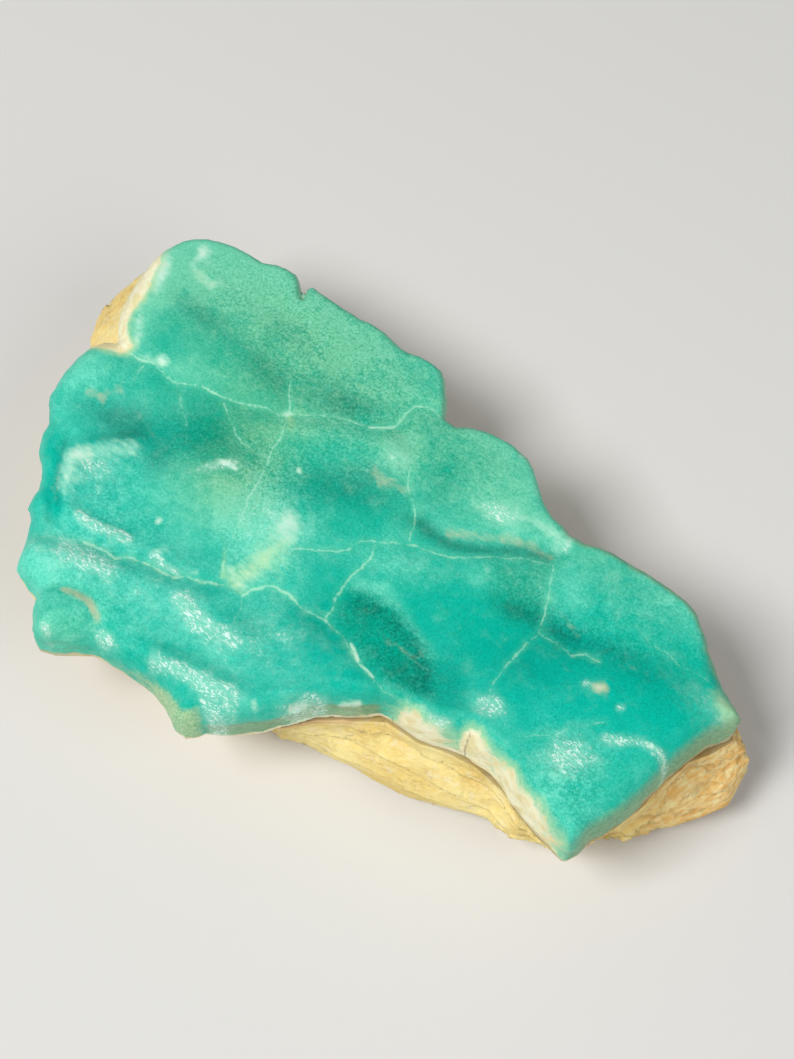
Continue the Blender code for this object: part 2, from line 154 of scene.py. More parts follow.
# The crust, in millimetres. The forms, down to the folds, are those of the part itself.
crust = {
    "node": "aragonite_crust",
    "slot": "aragonite",
    "seamHeight": 18.0,
    "topHeight": 27.0,
    "leastThickness": 3.0,
    "facet": 0.325,
    "hiddenKeep": 0.12,          # share of the triangles kept on the hidden underside
    "rimWander": 0.35,
    "lumps": ((6.0, 0.14), (2.6, 0.06), (1.3, 0.03)),   # size and height of the unevenness
    "crinkleSize": 0.9,
    "crinkleHeight": 0.12,
    "grainHeight": 0.05,
    "veinGroove": 0.06,
    "grooveWidth": 0.5,
    "wallLumps": ((2.6, 0.3, 7.0), (1.0, 0.14, 9.0)),   # size, height and shift of the noise
    "wallReach": 4.0,            # how far in from the rim its wall reaches at most
    "rightCorner": (50.0, -27.0, 3.464, 3.464, 0.0, 1.0),   # a spot, as in fields
    "bumpDepth": 0.12,
}

crustRim = [
    (-41.2, 33.4), (-41.4, 36), (-41.2, 38.8), (-40.4, 41.4), (-39.4, 43.6), (-38.2, 45.6), (-37, 47.2),
    (-35.6, 48.6), (-33.8, 49.9), (-31.6, 51.1), (-29.6, 51.4), (-27.6, 51.3), (-25.6, 50.8),
    (-23, 49.8), (-20.8, 48.3), (-18.8, 47), (-16.6, 46.6), (-14.9, 45.8), (-13.6, 44.8), (-13.1, 43.6),
    (-12.9, 42), (-12.6, 40.3), (-12.2, 41.3), (-11.8, 42.2), (-11.1, 42.6), (-9.4, 41.3), (-7.4, 39.9),
    (-5.4, 38.2), (-3.6, 36.8), (-1.8, 36.1), (0.2, 34.4), (2.2, 32.2), (3.8, 31), (5.6, 30.4),
    (7.6, 29.2), (8.9, 27.8), (9.4, 25.6), (9.5, 22.6), (9.3, 19.6), (11, 18.2), (13.2, 17.8),
    (15.4, 17.2), (17.8, 16), (19.8, 14.6), (21.4, 12.8), (22.5, 10.6), (23.1, 7.8), (23.9, 5),
    (25, 2.8), (26.3, 1.6), (27.3, 0.2), (28.5, -0.5), (29.4, -1.2), (31.4, -1.7), (34.2, -3.1),
    (36.6, -4.9), (39.2, -6.5), (41.6, -8.4), (43.9, -10.2), (45.4, -12.6), (46.3, -15.2), (46.8, -18),
    (47.9, -20.9), (49.2, -23.6), (50.6, -25.8), (51.2, -27.4), (50.3, -28.4), (47, -29.6),
    (44.5, -31.4), (42.5, -33), (40.5, -34.8), (38.5, -36.8), (36.5, -38.8), (34, -41), (31, -42.8),
    (29, -44), (27.4, -45.6), (25.6, -46.4), (24, -44.8), (22, -42.5), (20, -40.2), (18.5, -38),
    (17, -35.5), (15.5, -33.5), (13.5, -32.3), (12, -31), (9.5, -30), (7, -29.3), (5, -28.5),
    (2.5, -26.7), (0.8, -25.5), (-0.5, -24.9), (-2.5, -25.2), (-5, -25.2), (-7.5, -25), (-10, -25.1),
    (-12.5, -26), (-15, -26.6), (-17.5, -27.5), (-20, -27.8), (-23, -27.9), (-26, -27.6),
    (-27.2, -28.2), (-28.9, -28.3), (-30.2, -27.4), (-31.2, -25.4), (-32.3, -23.5), (-34, -21.4),
    (-36.4, -19.6), (-38.8, -18), (-40.6, -16.9), (-42.8, -15.7), (-46, -15.6), (-49, -15.6),
    (-50.8, -15), (-51.4, -13.4), (-51.5, -10.8), (-51.1, -8.2), (-52.4, -6.6), (-54.2, -4.4),
    (-54, -2.9), (-53.4, -0.4), (-52.9, 2.1), (-52.7, 3.9), (-53.2, 5.7), (-52.6, 7.2), (-51.5, 8.6),
    (-51.3, 10.4), (-51.7, 13.2), (-52.1, 15.7), (-51.9, 18), (-51.2, 19.8), (-51.4, 22.6),
    (-51.2, 24.6), (-50, 26.6), (-48.3, 28.9), (-45.8, 32.2), (-43.2, 33.6),
]

# x, y, reach, how far in the roll starts and how deep it falls; the first is the usual rim
rimRoll = [
    (0, 0, 0, 1.4, 1.8), (-40, -18, 9, 6, 6.5), (-30, -26, 6, 5, 6.5), (-51, -12, 5, 3.4, 5.6),
    (-53, 2, 6, 3.2, 4.6), (-50, 22, 8, 4.4, 4.4), (-42, 42, 7, 3.4, 6.4), (-5, -25, 8, 2.6, 5),
    (12, -31, 8, 3.2, 6), (24, -44, 6, 3.2, 5.8), (38, -37, 8, 4.4, 5.6), (50, -27, 5, 4.6, 5.6),
]

hills = [
    (-27, 30.5, 10, 4.6, -38, 0.8), (-24, 38, 12, 9, -25, 0.6), (-3, 27, 9, 4, -38, 0.6),
    (-31.5, 46, 4, 4, 0, 0.5), (-15, 31, 3, 8, 20, -0.4), (-45, 27, 5, 3.6, 35, 0.9),
    (-41, 18.6, 5, 3, -20, -1.1), (-38, 6, 5, 4.4, 0, -0.9), (-25, 8, 5.4, 5.8, 0, 1.2),
    (-14, 3, 4.4, 4.4, 0, 0.8), (-8, 15.5, 7, 3, -12, 0.6), (-6, 8.5, 8.5, 2.4, -15, -0.7),
    (-17, -4.4, 5, 2.6, 30, 0.5), (13, 8.6, 8.6, 6, -25, 1.3), (1.5, 12.6, 3, 3.6, 0, 0.6),
    (1.5, -15, 8, 3.2, -52, -0.7), (-7, -18, 7, 2.6, -52, 0.5), (12, -11, 7.5, 7.5, 0, -0.5),
    (34, -9, 11, 6, -35, 0.9), (27, -15, 5, 2.4, -25, -0.6), (27, -26, 9, 7, -20, 0.7),
    (38, -29, 6, 4, -45, 0.6), (-45.5, -12.8, 3.8, 3.4, 0, 1.2), (-10, -19, 8, 4.6, -10, 0.5),
]

# height, half width, then the points of each crease (negative) or crest (positive)
folds = [
    (-0.4, 1.8, [(-44, 32.6), (-39.5, 30.5), (-34.6, 28), (-31.8, 25.1), (-27, 24.1), (-21.5, 21.3),
        (-15.5, 19.8), (-10, 19.5), (-5, 18.5), (-1, 17.3), (1.8, 17.4), (4.7, 21.2), (9.5, 19)]),
    (-0.4, 1.8, [(-53, 0.4), (-48, 0.3), (-44.5, -0.7), (-39, -3.8), (-35, -4.4), (-32, -6),
        (-26.7, -7.4), (-23.5, -7.7)]),
    (-0.2, 1.5, [(-14.2, 19.6), (-16.6, 13.5), (-18.3, 8.5), (-21, 2), (-22.8, -3.5), (-23.6, -7)]),
    (-0.15, 1.6, [(-13, -2.2), (-5.3, -2.3), (-2.5, -1), (4, -1.5), (10, -3.3), (16, -3.4),
        (24.4, -4.6)]),
    (-0.15, 1.5, [(-1.3, -1.5), (-4.5, -6), (-7.5, -11), (-8.5, -13)]),
    (-0.25, 1.5, [(-20.5, -9.6), (-16, -8.3), (-11.5, -12), (-7.5, -14.8), (-4.2, -19.5), (0, -24)]),
    (-0.2, 1.6, [(24.6, -4.5), (22.9, -12), (22.2, -15.3), (17, -20.8), (13.4, -26.6)]),
    (-0.15, 1.6, [(22.2, -15.3), (26.5, -18.8), (30.5, -20), (38, -21.5)]),
    (-0.25, 1.5, [(1.8, 17.4), (5.1, 12.8), (3.4, 8), (4.5, 3), (3.7, -1)]),
    (0.8, 1.7, [(-46.8, 4.5), (-46.9, 9), (-46.2, 12.6), (-44, 14.6), (-40.5, 15.2), (-37, 15.4)]),
    (-0.6, 0.9, [(-48.9, 3), (-49, 8), (-48.6, 14), (-47, 16.6)]),
    (0.45, 1.2, [(-46, 3.6), (-41, 1), (-37.3, -1)]),
    (-0.7, 1.8, [(4.4, 3.4), (6.5, 1), (10, -0.8), (15, -2), (21, -2.4), (25.5, -2.6)]),
    (1, 2.6, [(-51, -3), (-44, -4.6), (-37, -7), (-30, -9.8), (-25, -13), (-20.5, -16.4)]),
    (-0.45, 2.2, [(-41, -14.6), (-36, -15.4), (-30, -17.2), (-25, -19.4), (-22, -21)]),
    (0.8, 2, [(-38, -17), (-33, -18.8), (-27, -21.4), (-22, -24.2)]),
    (-0.6, 1.3, [(-51, -7.6), (-47, -7.6), (-43.6, -8.8), (-41.4, -11.4), (-40.8, -14.4)]),
    (0.4, 1.4, [(-19, -25.6), (-12, -24.4), (-3, -24.2), (3, -25), (9, -27.6), (13, -28.6)]),
]

# Pale veins: strength, then points. A point of the mesh knows only the nearest line of each
# group, so the veins of a group lie apart or follow on from each other, and branches are in
# another group.
veins = {
    "veinA": [
        (0.7, [(-42.6, 31.9), (-39.5, 30.5), (-37, 28.9), (-34.6, 28.2), (-33.3, 26.6), (-31.8, 25.1),
            (-29, 24.6), (-27, 24.1), (-24.5, 22.6), (-21.5, 21.3), (-17.5, 20.7), (-15.5, 19.4),
            (-13.5, 19.8)]),
        (0.45, [(-13.5, 19.8), (-10, 19.5), (-7, 19.2), (-5, 18.5), (-3.5, 17.8), (-1, 17.3),
            (1.8, 17.4), (2.8, 19.2), (4.7, 20.9)]),
        (0.5, [(4.7, 20.9), (6.5, 20.8), (8.7, 19.7), (9.5, 18.9)]),
        (0.3, [(-51.6, -0.6), (-49, -0.2), (-46.4, -0.6), (-44, -1)]),
        (0.75, [(-44, -1), (-41, -2.4), (-39, -3.9), (-37, -3.5), (-35, -4.5), (-33.5, -5), (-32, -6),
            (-30.5, -6.8), (-28.6, -6.6), (-26.7, -7.4), (-23.5, -7.8)]),
        (0.5, [(-14.7, -2.6), (-12.5, -2.4), (-7, -2.6), (-5.3, -2.4), (-4.3, -1.5), (-2.5, -0.9),
            (0, -1.1), (4, -1.5), (6, -2.3), (8, -3.1), (10, -3.5), (16, -3.4)]),
        (0.3, [(16, -3.4), (20.5, -4), (24, -4.8)]),
        (0.4, [(22.2, -15.3), (20, -17.4), (19.2, -18.3), (17, -20.8), (16, -22.5), (14.8, -24.3)]),
    ],
    "veinB": [
        (0.55, [(-14.2, 25), (-14.1, 20.5), (-15.3, 16), (-16.6, 13.5), (-17.4, 11.5), (-18.3, 8.5),
            (-19.8, 5.5)]),
        (0.45, [(-19.8, 5.5), (-21, 2), (-22.5, -1.5), (-23.2, -3.5), (-23.5, -7.3)]),
        (0.4, [(4, 10.6), (3.5, 8.5), (3.7, 6.5), (4.6, 4), (4.3, 1.5), (3.7, -0.8)]),
        (0.4, [(24.6, -4.8), (24.2, -6.5), (23.6, -10.5), (22.9, -12.8), (22.2, -15.3)]),
        (0.5, [(-1.3, -1.5), (-1.8, -3.2), (-3.2, -5), (-4.9, -6.6), (-6.8, -9.6), (-7.4, -12),
            (-8.4, -13.2)]),
        (0.35, [(-31.2, 24.8), (-30.6, 22.5), (-30.3, 20.5), (-29.5, 17.8)]),
        (0.25, [(-20.5, -10), (-20.6, -12), (-21.5, -14.5)]),
        (0.2, [(36, -14.5), (38, -17.5), (40, -18.5), (42, -20.5), (44, -21.5), (46, -22.8),
            (47.5, -24.5)]),
    ],
    "veinC": [
        (0.5, [(-24.4, 22.3), (-23.7, 20.5), (-22.6, 17.5), (-21.2, 14.8), (-19.8, 13.8)]),
        (0.2, [(-19.8, 13.8), (-18.5, 13), (-17.4, 12.3)]),
        (0.7, [(-20.5, -9.6), (-18.5, -8.5), (-16, -8.2), (-13.5, -9.7), (-11.5, -12), (-8.7, -13.2),
            (-7.5, -14.6)]),
        (0.35, [(-7.5, -14.6), (-5.5, -16.6), (-4.2, -19.5), (-2.5, -21.5), (0, -24), (3, -25.5),
            (6.5, -27.5)]),
        (0.4, [(22.2, -15.3), (25, -17.3), (26.5, -18.9), (28.6, -18.8), (30.5, -20)]),
        (0.3, [(-37.8, 25.4), (-37.2, 26.8), (-36.3, 28)]),
        (0.3, [(-21.3, -27.3), (-23, -28.8), (-24.5, -29.6)]),
        (0.3, [(2, 17), (2.1, 16), (2.6, 15.2), (3.6, 14.9)]),
        (0.25, [(19, -31), (24, -30.8), (26, -29.8), (31, -29)]),
    ],
}

# Areas with a clear edge, as closed outlines.
darkCell = [
    (-5, -8.4), (-0.6, -9.8), (2, -12.5), (5, -17.5), (6.4, -20), (6.4, -24), (3, -24.5), (-1, -22.5),
    (-3.5, -19.5), (-6.5, -15), (-7.5, -13),
]
oliveSquare = [
    (15.8, -4.2), (24.2, -4.8), (23.4, -11), (22.3, -14.4), (18, -13.2), (15.4, -10),
]
creamNear = [
    (0.1, -26.8), (0.4, -25.9), (3, -26.1), (4.4, -26.7), (5.8, -27.8), (7.5, -28.7), (9.4, -29.5),
    (10.6, -30.2), (11.5, -29.4), (12.5, -29.2), (13.5, -29.9), (14.2, -31.3), (15.2, -32.4),
    (17, -34.4), (18.3, -35.3), (19, -37.4), (20.3, -38.9), (21.6, -40.3), (22.8, -42.6), (24.4, -44.8),
    (25.4, -46.4), (26, -52), (0, -52),
]
creamLeft = [
    (-33.5, 52), (-34.8, 48.3), (-35, 45.7), (-35.9, 43.3), (-36.8, 40.4), (-38, 38.6), (-38.9, 37.2),
    (-39.6, 35), (-39.4, 33.1), (-38.6, 31.2), (-40, 30.4), (-48, 33), (-44, 52),
]
oliveNear = [
    (-26.5, -29.2), (-21, -27.7), (-16, -27.6), (-12, -26.7), (-8.3, -25.7), (-4.8, -25.2),
    (-1.3, -26.1), (0, -26.7), (0, -40), (-26.5, -40),
]
oliveRight = [
    (26.2, -45.6), (28.5, -43.4), (31.3, -41.3), (34.2, -39), (37.1, -36.7), (39.3, -34.6),
    (42.2, -32.1), (44.4, -30.1), (46.7, -28.4), (49.6, -26.5), (56, -26), (56, -50), (27, -50),
]

# How the crust's colour and skin differ from place to place. To the usual value are added
# spots (x, y, radius along, radius across, turn, amount), strokes (amount, half width, points)
# and areas (amount, softness of the edge, outline).
fields = {
    # 0 is rich turquoise, 1 is pale mint
    "mint": {
        "usual": 0.6,
        "spots": [
            (-9, 34, 15, 7, -38, 0.45), (-24, 46, 6, 5, 0, 0.5), (-33.4, 47.4, 1.8, 3.6, 0, 0.9),
            (-27.6, 47, 2, 3, 0, 0.5), (-34, -22, 6, 2.4, -35, -0.3), (46, -28, 5, 4, 0, -0.2),
            (-30.6, 46, 1, 4, 0, -0.35), (-20, 27, 3.5, 4, 0, -0.08), (-33, 33, 2.6, 5, 0, -0.12),
            (-28, 26.6, 5, 1.6, -20, 0.2), (-37.4, 37, 1.4, 4, 0, 0.4), (-46, 26.4, 4, 3, 35, 0.35),
            (-29, 15.5, 6.5, 4.5, -10, -0.25), (-19, 16.5, 3, 3, 0, 0.2), (-38.5, 5, 5, 4.5, 0, 0.05),
            (-24.5, 7, 5.5, 5, 0, 0.38), (-17, 2, 4.5, 5, 0, 0.45), (-5.5, 6.5, 7, 4, -15, -0.25),
            (-11, 16.5, 5, 2, -10, 0.25), (2.5, 12.5, 3, 3, 0, 0.45), (17, 10, 6, 6, -25, 0.35),
            (8, 11, 2.5, 3, 0, -0.25), (19, 2.5, 5, 2.2, -15, 0.3), (-8.5, -6, 3.5, 2.5, -30, -0.25),
            (-46, -13, 5, 5, 0, 0.3), (-51, -4, 4, 3, 0, 0.3), (26.5, -9, 2, 3.4, 20, 0.3),
            (26.5, -38, 4, 4.5, 0, 0.12), (-28.9, -25.2, 3.5, 2, -30, -0.2), (2, -5, 5, 1.4, -15, 0.3),
            (8.5, -14, 1.6, 2.6, 30, 0.4), (13.4, -6.6, 1.6, 1.4, 0, 0.35),
            (-33.5, 43, 2.4, 4.5, 0, 0.45), (-39, -10, 4, 3, 0, -0.1), (30, -36, 2, 2, 0, -0.15),
            (-17.5, -4.5, 2.6, 2.2, 25, 0.35), (-13, -21, 5, 3, 0, -0.06),
        ],
        "strokes": [
            (-0.55, 9, [(-6, -17), (8, -15), (22, -20), (40, -26)]),
            (0.55, 1.3, [(-4, -7.6), (0, -8.6), (2.4, -11.6), (5, -16), (6.6, -18.5)]),
            (0.35, 1.3, [(12, -19.6), (12.6, -23), (12.4, -26.4)]),
            (0.2, 3.5, [(27, -1), (34, -4), (41, -9), (45, -14)]),
            (-0.45, 1.3, [(-49.3, 15), (-49, 9), (-48.6, 4)]),
        ],
    },
    # 0 is a blue turquoise, 1 is a green one
    "green": {
        "usual": 0.3,
        "spots": [
            (-14, 33, 24, 13, -30, 0.6), (-20, 16, 6, 7, 0, 0.5), (-25, 7.5, 5, 5, 0, 0.4),
            (12, 10, 12, 8, -25, 0.3), (34, -6, 10, 4, -35, 0.25), (-46, -14, 5, 4.5, 0, 0.3),
            (-45, 10, 6, 9, 0, -0.2), (26, -27, 12, 5, -20, -0.2), (-33, -10, 12, 8, -30, -0.15),
            (-13, -21, 7, 4, 0, -0.2),
        ],
        "areas": [(0.3, 2.4, darkCell), (0.3, 2.6, oliveSquare)],
    },
    # where the colour is darker: partly the stone's deeper colour, partly painted shade on slopes and
    # hollows that face away from the light
    "deepAndShade": {
        "usual": 0.0,
        "spots": [
            (-38.6, 18.2, 2.6, 2.4, -20, 0.9), (-42.6, 20.6, 3, 1.2, -15, 0.6),
            (-27, 16, 6, 3.4, -12, 0.6), (-33.6, 12, 1.8, 2.2, 0, 0.5), (-5, 8, 6, 2.2, -15, 0.6),
            (-2.4, 10, 2, 1, 0, 0.4), (-5, 20.6, 4, 1.6, -12, 0.6), (-8, 24, 4, 2.4, -35, 0.4),
            (19.6, -12.2, 2.6, 1.1, -20, 0.6), (25.4, -15.4, 1.4, 2.6, 30, 0.7),
            (31, -17.6, 5, 1.2, -20, 0.5), (38, -22, 6, 2.2, -20, 0.35), (-28, 36.4, 4, 1.4, -40, 0.5),
            (-17.6, 26.6, 4, 1.6, -45, 0.5), (-14, 33, 4, 1.6, -45, 0.35),
            (-9.5, -15.8, 4, 2, -50, 0.35), (9.4, -23, 2.2, 3.4, 0, 0.4),
            (2.4, -21.4, 3, 1.8, -35, 0.45), (21, -20.4, 4.6, 2.6, -20, 0.4),
            (-30, -3, 5, 1.6, -25, 0.3), (9, 7.6, 2.4, 3, 0, 0.25),
        ],
        "strokes": [
            (0.85, 1.1, [(5, 2.4), (7, 0.4), (9.6, -1.4), (14, -2.3), (20, -2.4), (23.8, -3.6)]),
            (0.6, 1.4, [(-3.6, -10.6), (0.6, -12.4), (3.6, -15.8), (5.5, -19.2), (5.7, -23.4)]),
            (0.5, 0.5, [(-47.6, 15.4), (-48.2, 12), (-48.4, 8), (-47.9, 5)]),
        ],
        "areas": [(0.3, 2.4, darkCell), (0.3, 2.4, oliveSquare)],
    },
    # how strongly the colour is broken up into fine flecks
    "grainy": {
        "usual": 0.24,
        "spots": [
            (-9, 32, 16, 8, -38, 0.8), (-22, 44, 6, 4, 0, 0.4), (-28, 15, 6, 4, -10, 0.4),
            (-18, 1, 4, 4.6, 0, 0.9), (38, -12, 9, 5, -35, 0.4), (26, -36, 4, 5, 0, 0.9),
            (-38, -10, 9, 6, -30, 0.5), (-8, 12, 9, 6, -15, 0.4), (14, 9, 8, 6, -25, 0.25),
            (-16, -16, 6, 5, 0, 0.35), (28, -16, 6, 3, -20, 0.5), (-44, 26, 5, 3, 20, 0.3),
            (-40, 2, 6, 4, 0, 0.35), (-41.6, 9, 3.4, 3, 0, 0.5), (-18, 9, 3, 4, 0, 0.5),
            (1, -4.5, 6, 2, -15, 0.35), (44, -28, 5, 3, -40, 0.4),
        ],
        "strokes": [(0.5, 1.6, [(-1, -11), (2.6, -15), (5.6, -19.4), (6.2, -23)])],
        "areas": [(0.7, 2.4, darkCell), (0.4, 2.4, oliveSquare)],
    },
    # whitish mint: partly pale patches of the stone, partly painted highlights, such as the soft sheen
    # along the curved ridge at the left and small bright glints
    "paleAndSheen": {
        "usual": 0.0,
        "spots": [
            (-33.8, 28.6, 1.1, 0.9, -15, 0.9), (-36.2, 29.2, 0.8, 0.3, -30, 0.6),
            (-34.6, 45.4, 1.3, 2.6, -10, 0.6), (-37.4, 36, 0.7, 3, 0, 0.6), (-38, 32, 0.8, 1.4, 0, 0.5),
            (-13.8, 2, 1.4, 2.2, 0, 0.6), (-33, 2.2, 0.5, 0.6, 0, 0.9),
            (-32.4, -2.6, 1.4, 0.6, 10, 0.5), (-27.4, -6, 0.9, 0.5, 20, 0.5),
            (-18.3, -26.2, 0.5, 0.8, 10, 0.7), (-22.3, -26.3, 0.5, 0.5, 0, 0.5),
            (-12.6, 10.4, 0.4, 0.5, 0, 0.8), (-23.4, 11.1, 0.9, 0.35, -20, 1),
            (-22, 10.2, 0.5, 0.3, -20, 0.9), (-26, 10.6, 2.4, 0.6, 15, 0.4),
            (-49.2, -14.2, 0.6, 0.4, -50, 0.6), (-27.7, 47.6, 0.9, 0.9, 0, 0.3),
            (2.4, 12, 2.2, 1.8, 0, 0.35), (-14.4, 19.8, 0.8, 0.4, 20, 0.9),
            (-2.4, 10.3, 0.4, 0.4, 0, 0.5), (16.4, 2.8, 2.6, 1.2, -25, 0.4),
            (22, 1.6, 3, 0.7, -30, 0.5), (25.6, -1.6, 1.2, 2.2, 10, 0.45),
            (14.6, -6.4, 1.4, 1.6, 0, 0.25), (33.5, 2, 1, 1, 0, 0.3), (-34.6, 43, 1.5, 3.4, -10, 0.6),
            (-27.4, 45.6, 1.4, 3, 0, 0.35), (30.3, -23.9, 0.7, 0.5, 0, 0.8),
            (-24, 41.6, 2, 0.8, -30, 0.4),
        ],
        "strokes": [
            # painted sheen: these three strokes paint the soft highlight along the curved ridge at the
            # left
            (0.3, 1.6, [(-46.9, 9.2), (-46.8, 10.6), (-46, 12.4), (-44.8, 12.9)]),
            (0.2, 1.3, [(-46, 12.4), (-44.4, 13.1), (-42, 13.7), (-39, 14.2), (-37, 14)]),
            (0.42, 2.6, [(-46.9, 7), (-46.8, 10.4), (-46, 12.4), (-43, 13.4), (-38, 14.2)]),
            (0.45, 0.9, [(-28.4, 48.6), (-28.3, 47.4), (-29.5, 45.5), (-29.2, 43.8), (-28, 42.7),
                (-26.5, 41.5)]),
            (1, 0.34, [(-4.7, -17.3), (-4.1, -18.6), (-3.7, -19.8)]),
            (0.9, 0.26, [(-3.3, -20.4), (-2.4, -21.2), (-1.5, -22.2)]),
            (0.9, 0.25, [(-2.2, 17.3), (-0.4, 17.2), (1.6, 17.4)]),
            (0.6, 0.3, [(5.4, 21), (7.2, 20.4), (8.6, 19.2)]),
            # painted glints: a thin bright line along the near rim
            (1.1, 0.28, [(-13.4, -25.9), (-11.4, -25.4), (-9, -25.2), (-6, -25), (-3.4, -25),
                (-1.9, -25.8)]),
            (0.5, 2.6, [(-20, -6.6), (-18, -5), (-15.8, -2.6), (-14.4, 0.4)]),
            (0.4, 0.5, [(-22.6, -5), (-21.4, -7.8), (-20, -9)]),
            (0.5, 0.35, [(3.4, -26.2), (5.4, -26.4), (7, -27.6)]),
            (0.3, 0.7, [(-3, -7.4), (0, -8.4), (2.5, -11.4)]),
            # painted glints on the crinkled skin at the right
            (0.9, 0.3, [(36.5, -32), (38, -33), (39.3, -34.3), (39, -35.2)]),
        ],
    },
    "yellow": {
        "usual": 0.0,
        "spots": [
            (-14, 18.6, 0.7, 1.3, 0, 0.6), (48.6, -26.6, 2.8, 1.5, -50, 0.9),
            (-28, 42.8, 1.8, 0.8, -45, 0.5), (24.4, -33.6, 2.4, 1.6, 0, 0.3),
            (30.4, -23.9, 1, 0.7, 0, 0.5), (-24, 7.6, 4.6, 4.6, 0, 0.16),
            (-15, -6.4, 1.8, 1.4, 0, 0.25), (-9, -12.2, 1.4, 0.8, -30, 0.35),
            (-12.4, 34.6, 2, 0.6, -45, 0.4),
        ],
        "strokes": [
            (0.5, 0.9, [(-46.2, -8.8), (-44.6, -9.4), (-42.4, -10.6), (-41.3, -12.6)]),
            (0.35, 0.8, [(-22.9, -6.4), (-21.6, -8.2), (-20.6, -9.2)]),
            (0.2, 1.2, [(-20.5, -6.6), (-18, -4.8), (-16.2, -3.4)]),
            (0.5, 3, [(-20.4, -6.4), (-18, -4.6), (-15.4, -2)]),
            (0.4, 0.4, [(-23.2, -1), (-23.4, -6.4)]),
            (0.3, 0.7, [(-7.4, -14.8), (-5.2, -17.6), (-3.6, -20)]),
            (0.2, 1, [(-10, 29), (-3, 24), (5, 21)]),
        ],
    },
    "tan": {
        "usual": 0.0,
        "spots": [
            (30.5, -24, 1.1, 0.8, -20, 0.9), (26.7, -19.1, 0.5, 0.4, 0, 0.6),
            (30.2, -19.9, 0.4, 0.4, 0, 0.5), (12.6, 9.6, 1.4, 1.4, 0, 0.25),
            (0.4, 9, 1.6, 0.9, -25, 0.3),
        ],
        "strokes": [
            (0.5, 1, [(-44.4, 23.4), (-42.4, 22.8), (-40.4, 24), (-39.4, 24.6)]),
            (0.35, 0.7, [(-42.6, 22.8), (-42.2, 21.6)]),
            (0.3, 0.6, [(-39.5, 23.4), (-38.8, 22.2), (-37.4, 20.6), (-35.6, 18.6), (-34.4, 16),
                (-34, 13.2), (-33.2, 11.4)]),
            (0.45, 1, [(-1.4, 10.3), (-0.6, 8.4), (1.2, 8), (3.3, 7)]),
            (0.6, 1, [(9.4, 0.4), (14, -0.3), (19, -0.9), (22, -2), (24, -3.6)]),
            (0.9, 0.8, [(-46.2, -8.8), (-44.6, -9.4), (-42.4, -10.6), (-41.3, -12.6)]),
            (0.4, 0.9, [(0, -16.3), (2.5, -17.8), (4.5, -19.2)]),
            (0.3, 0.5, [(5.2, -20.2), (5.8, -22.4), (6, -24.6)]),
            (0.3, 0.6, [(4.2, -17), (6.2, -18.8)]),
            (0.4, 0.9, [(24.5, -11.6), (26.2, -13.4), (27.6, -15.6)]),
            (0.3, 0.8, [(33, -20.5), (37, -21.5)]),
        ],
    },
    # where the skin is crinkled, and where white glints and a soft pale glow are painted on it as
    # highlights
    "crinkleAndGlints": {
        "usual": 0.12,
        "spots": [
            (-42, 9, 3, 3, 0, 0.4), (-15.5, 1, 4, 3.4, 0, 0.3), (15, -26.4, 1.6, 1.2, -20, 1.1),
            (25.4, -32.4, 2.4, 2, 0, 0.5), (26, -34.8, 3.4, 1.8, 0, 0.5), (-46, -2.8, 5, 2.4, -10, 0.4),
            (-40.2, -15.4, 1.3, 0.6, -30, 1.1), (-23, -26.2, 2.4, 1.4, -10, 0.5),
            (-12.6, -26, 2, 0.6, 25, 0.7), (-10, -25.2, 1.2, 0.5, 10, 1),
            (7.6, -28.2, 1.6, 0.6, -25, 0.9), (-43.5, 11.2, 2, 0.8, 10, 0.5),
            (16.4, 3.2, 3, 1.4, -20, 0.6), (2, 11.6, 2, 2, 0, 0.4), (-25, 10.6, 3, 0.6, 10, 0.5),
            (-48.6, -14.6, 0.7, 0.5, -50, 0.9), (-38, -6, 10, 3.4, -20, 0.2), (-22, 6, 6, 5, 0, 0.25),
            (-30, -15, 8, 3, -30, 0.2), (-15, -22, 8, 4, 0, 0.2), (36, -10, 9, 4, -35, 0.2),
            (5, -5, 6, 2, -15, 0.2), (-16, -15, 5, 3, 0, 0.3), (28.6, -23.4, 0.6, 0.4, 0, 0.8),
            (33, -27, 0.5, 0.4, 0, 0.8), (46, -27, 4, 2, -40, 0.35), (26.8, -1.6, 0.5, 1, -30, 0.8),
            (20.6, 12.4, 0.8, 0.5, -45, 0.6),
        ],
        "strokes": [
            (1, 0.8, [(-44.6, 3), (-42.6, 1.6), (-40.6, 0.9), (-38.7, 0.1), (-37.4, -0.8)]),
            (0.6, 1.2, [(-46, -2.4), (-43, -4.4), (-40, -6)]),
            (1.1, 1.3, [(-29, -10.6), (-27.6, -12.4), (-26.4, -14)]),
            (0.95, 1, [(-26.4, -14), (-24, -15.4), (-21.4, -17)]),
            (1, 1.1, [(-32.5, -19.8), (-29, -21.2), (-25.6, -23)]),
            (0.85, 1.1, [(-25.6, -23), (-21.6, -24.8)]),
            (0.8, 0.8, [(-25.2, -25.2), (-24.6, -27), (-23.2, -28.2)]),
            (0.8, 0.6, [(-33.6, -3.2), (-32, -4.6), (-30.2, -5.8)]),
            (0.7, 0.9, [(31, -31.4), (36, -32), (38.6, -33.6), (39.4, -35)]),
        ],
    },
    # muddy olive along the near rim
    "olive": {
        "usual": 0.0,
        "areas": [(0.8, 0.5, oliveNear), (0.1, 1.4, oliveRight)],
    },
}

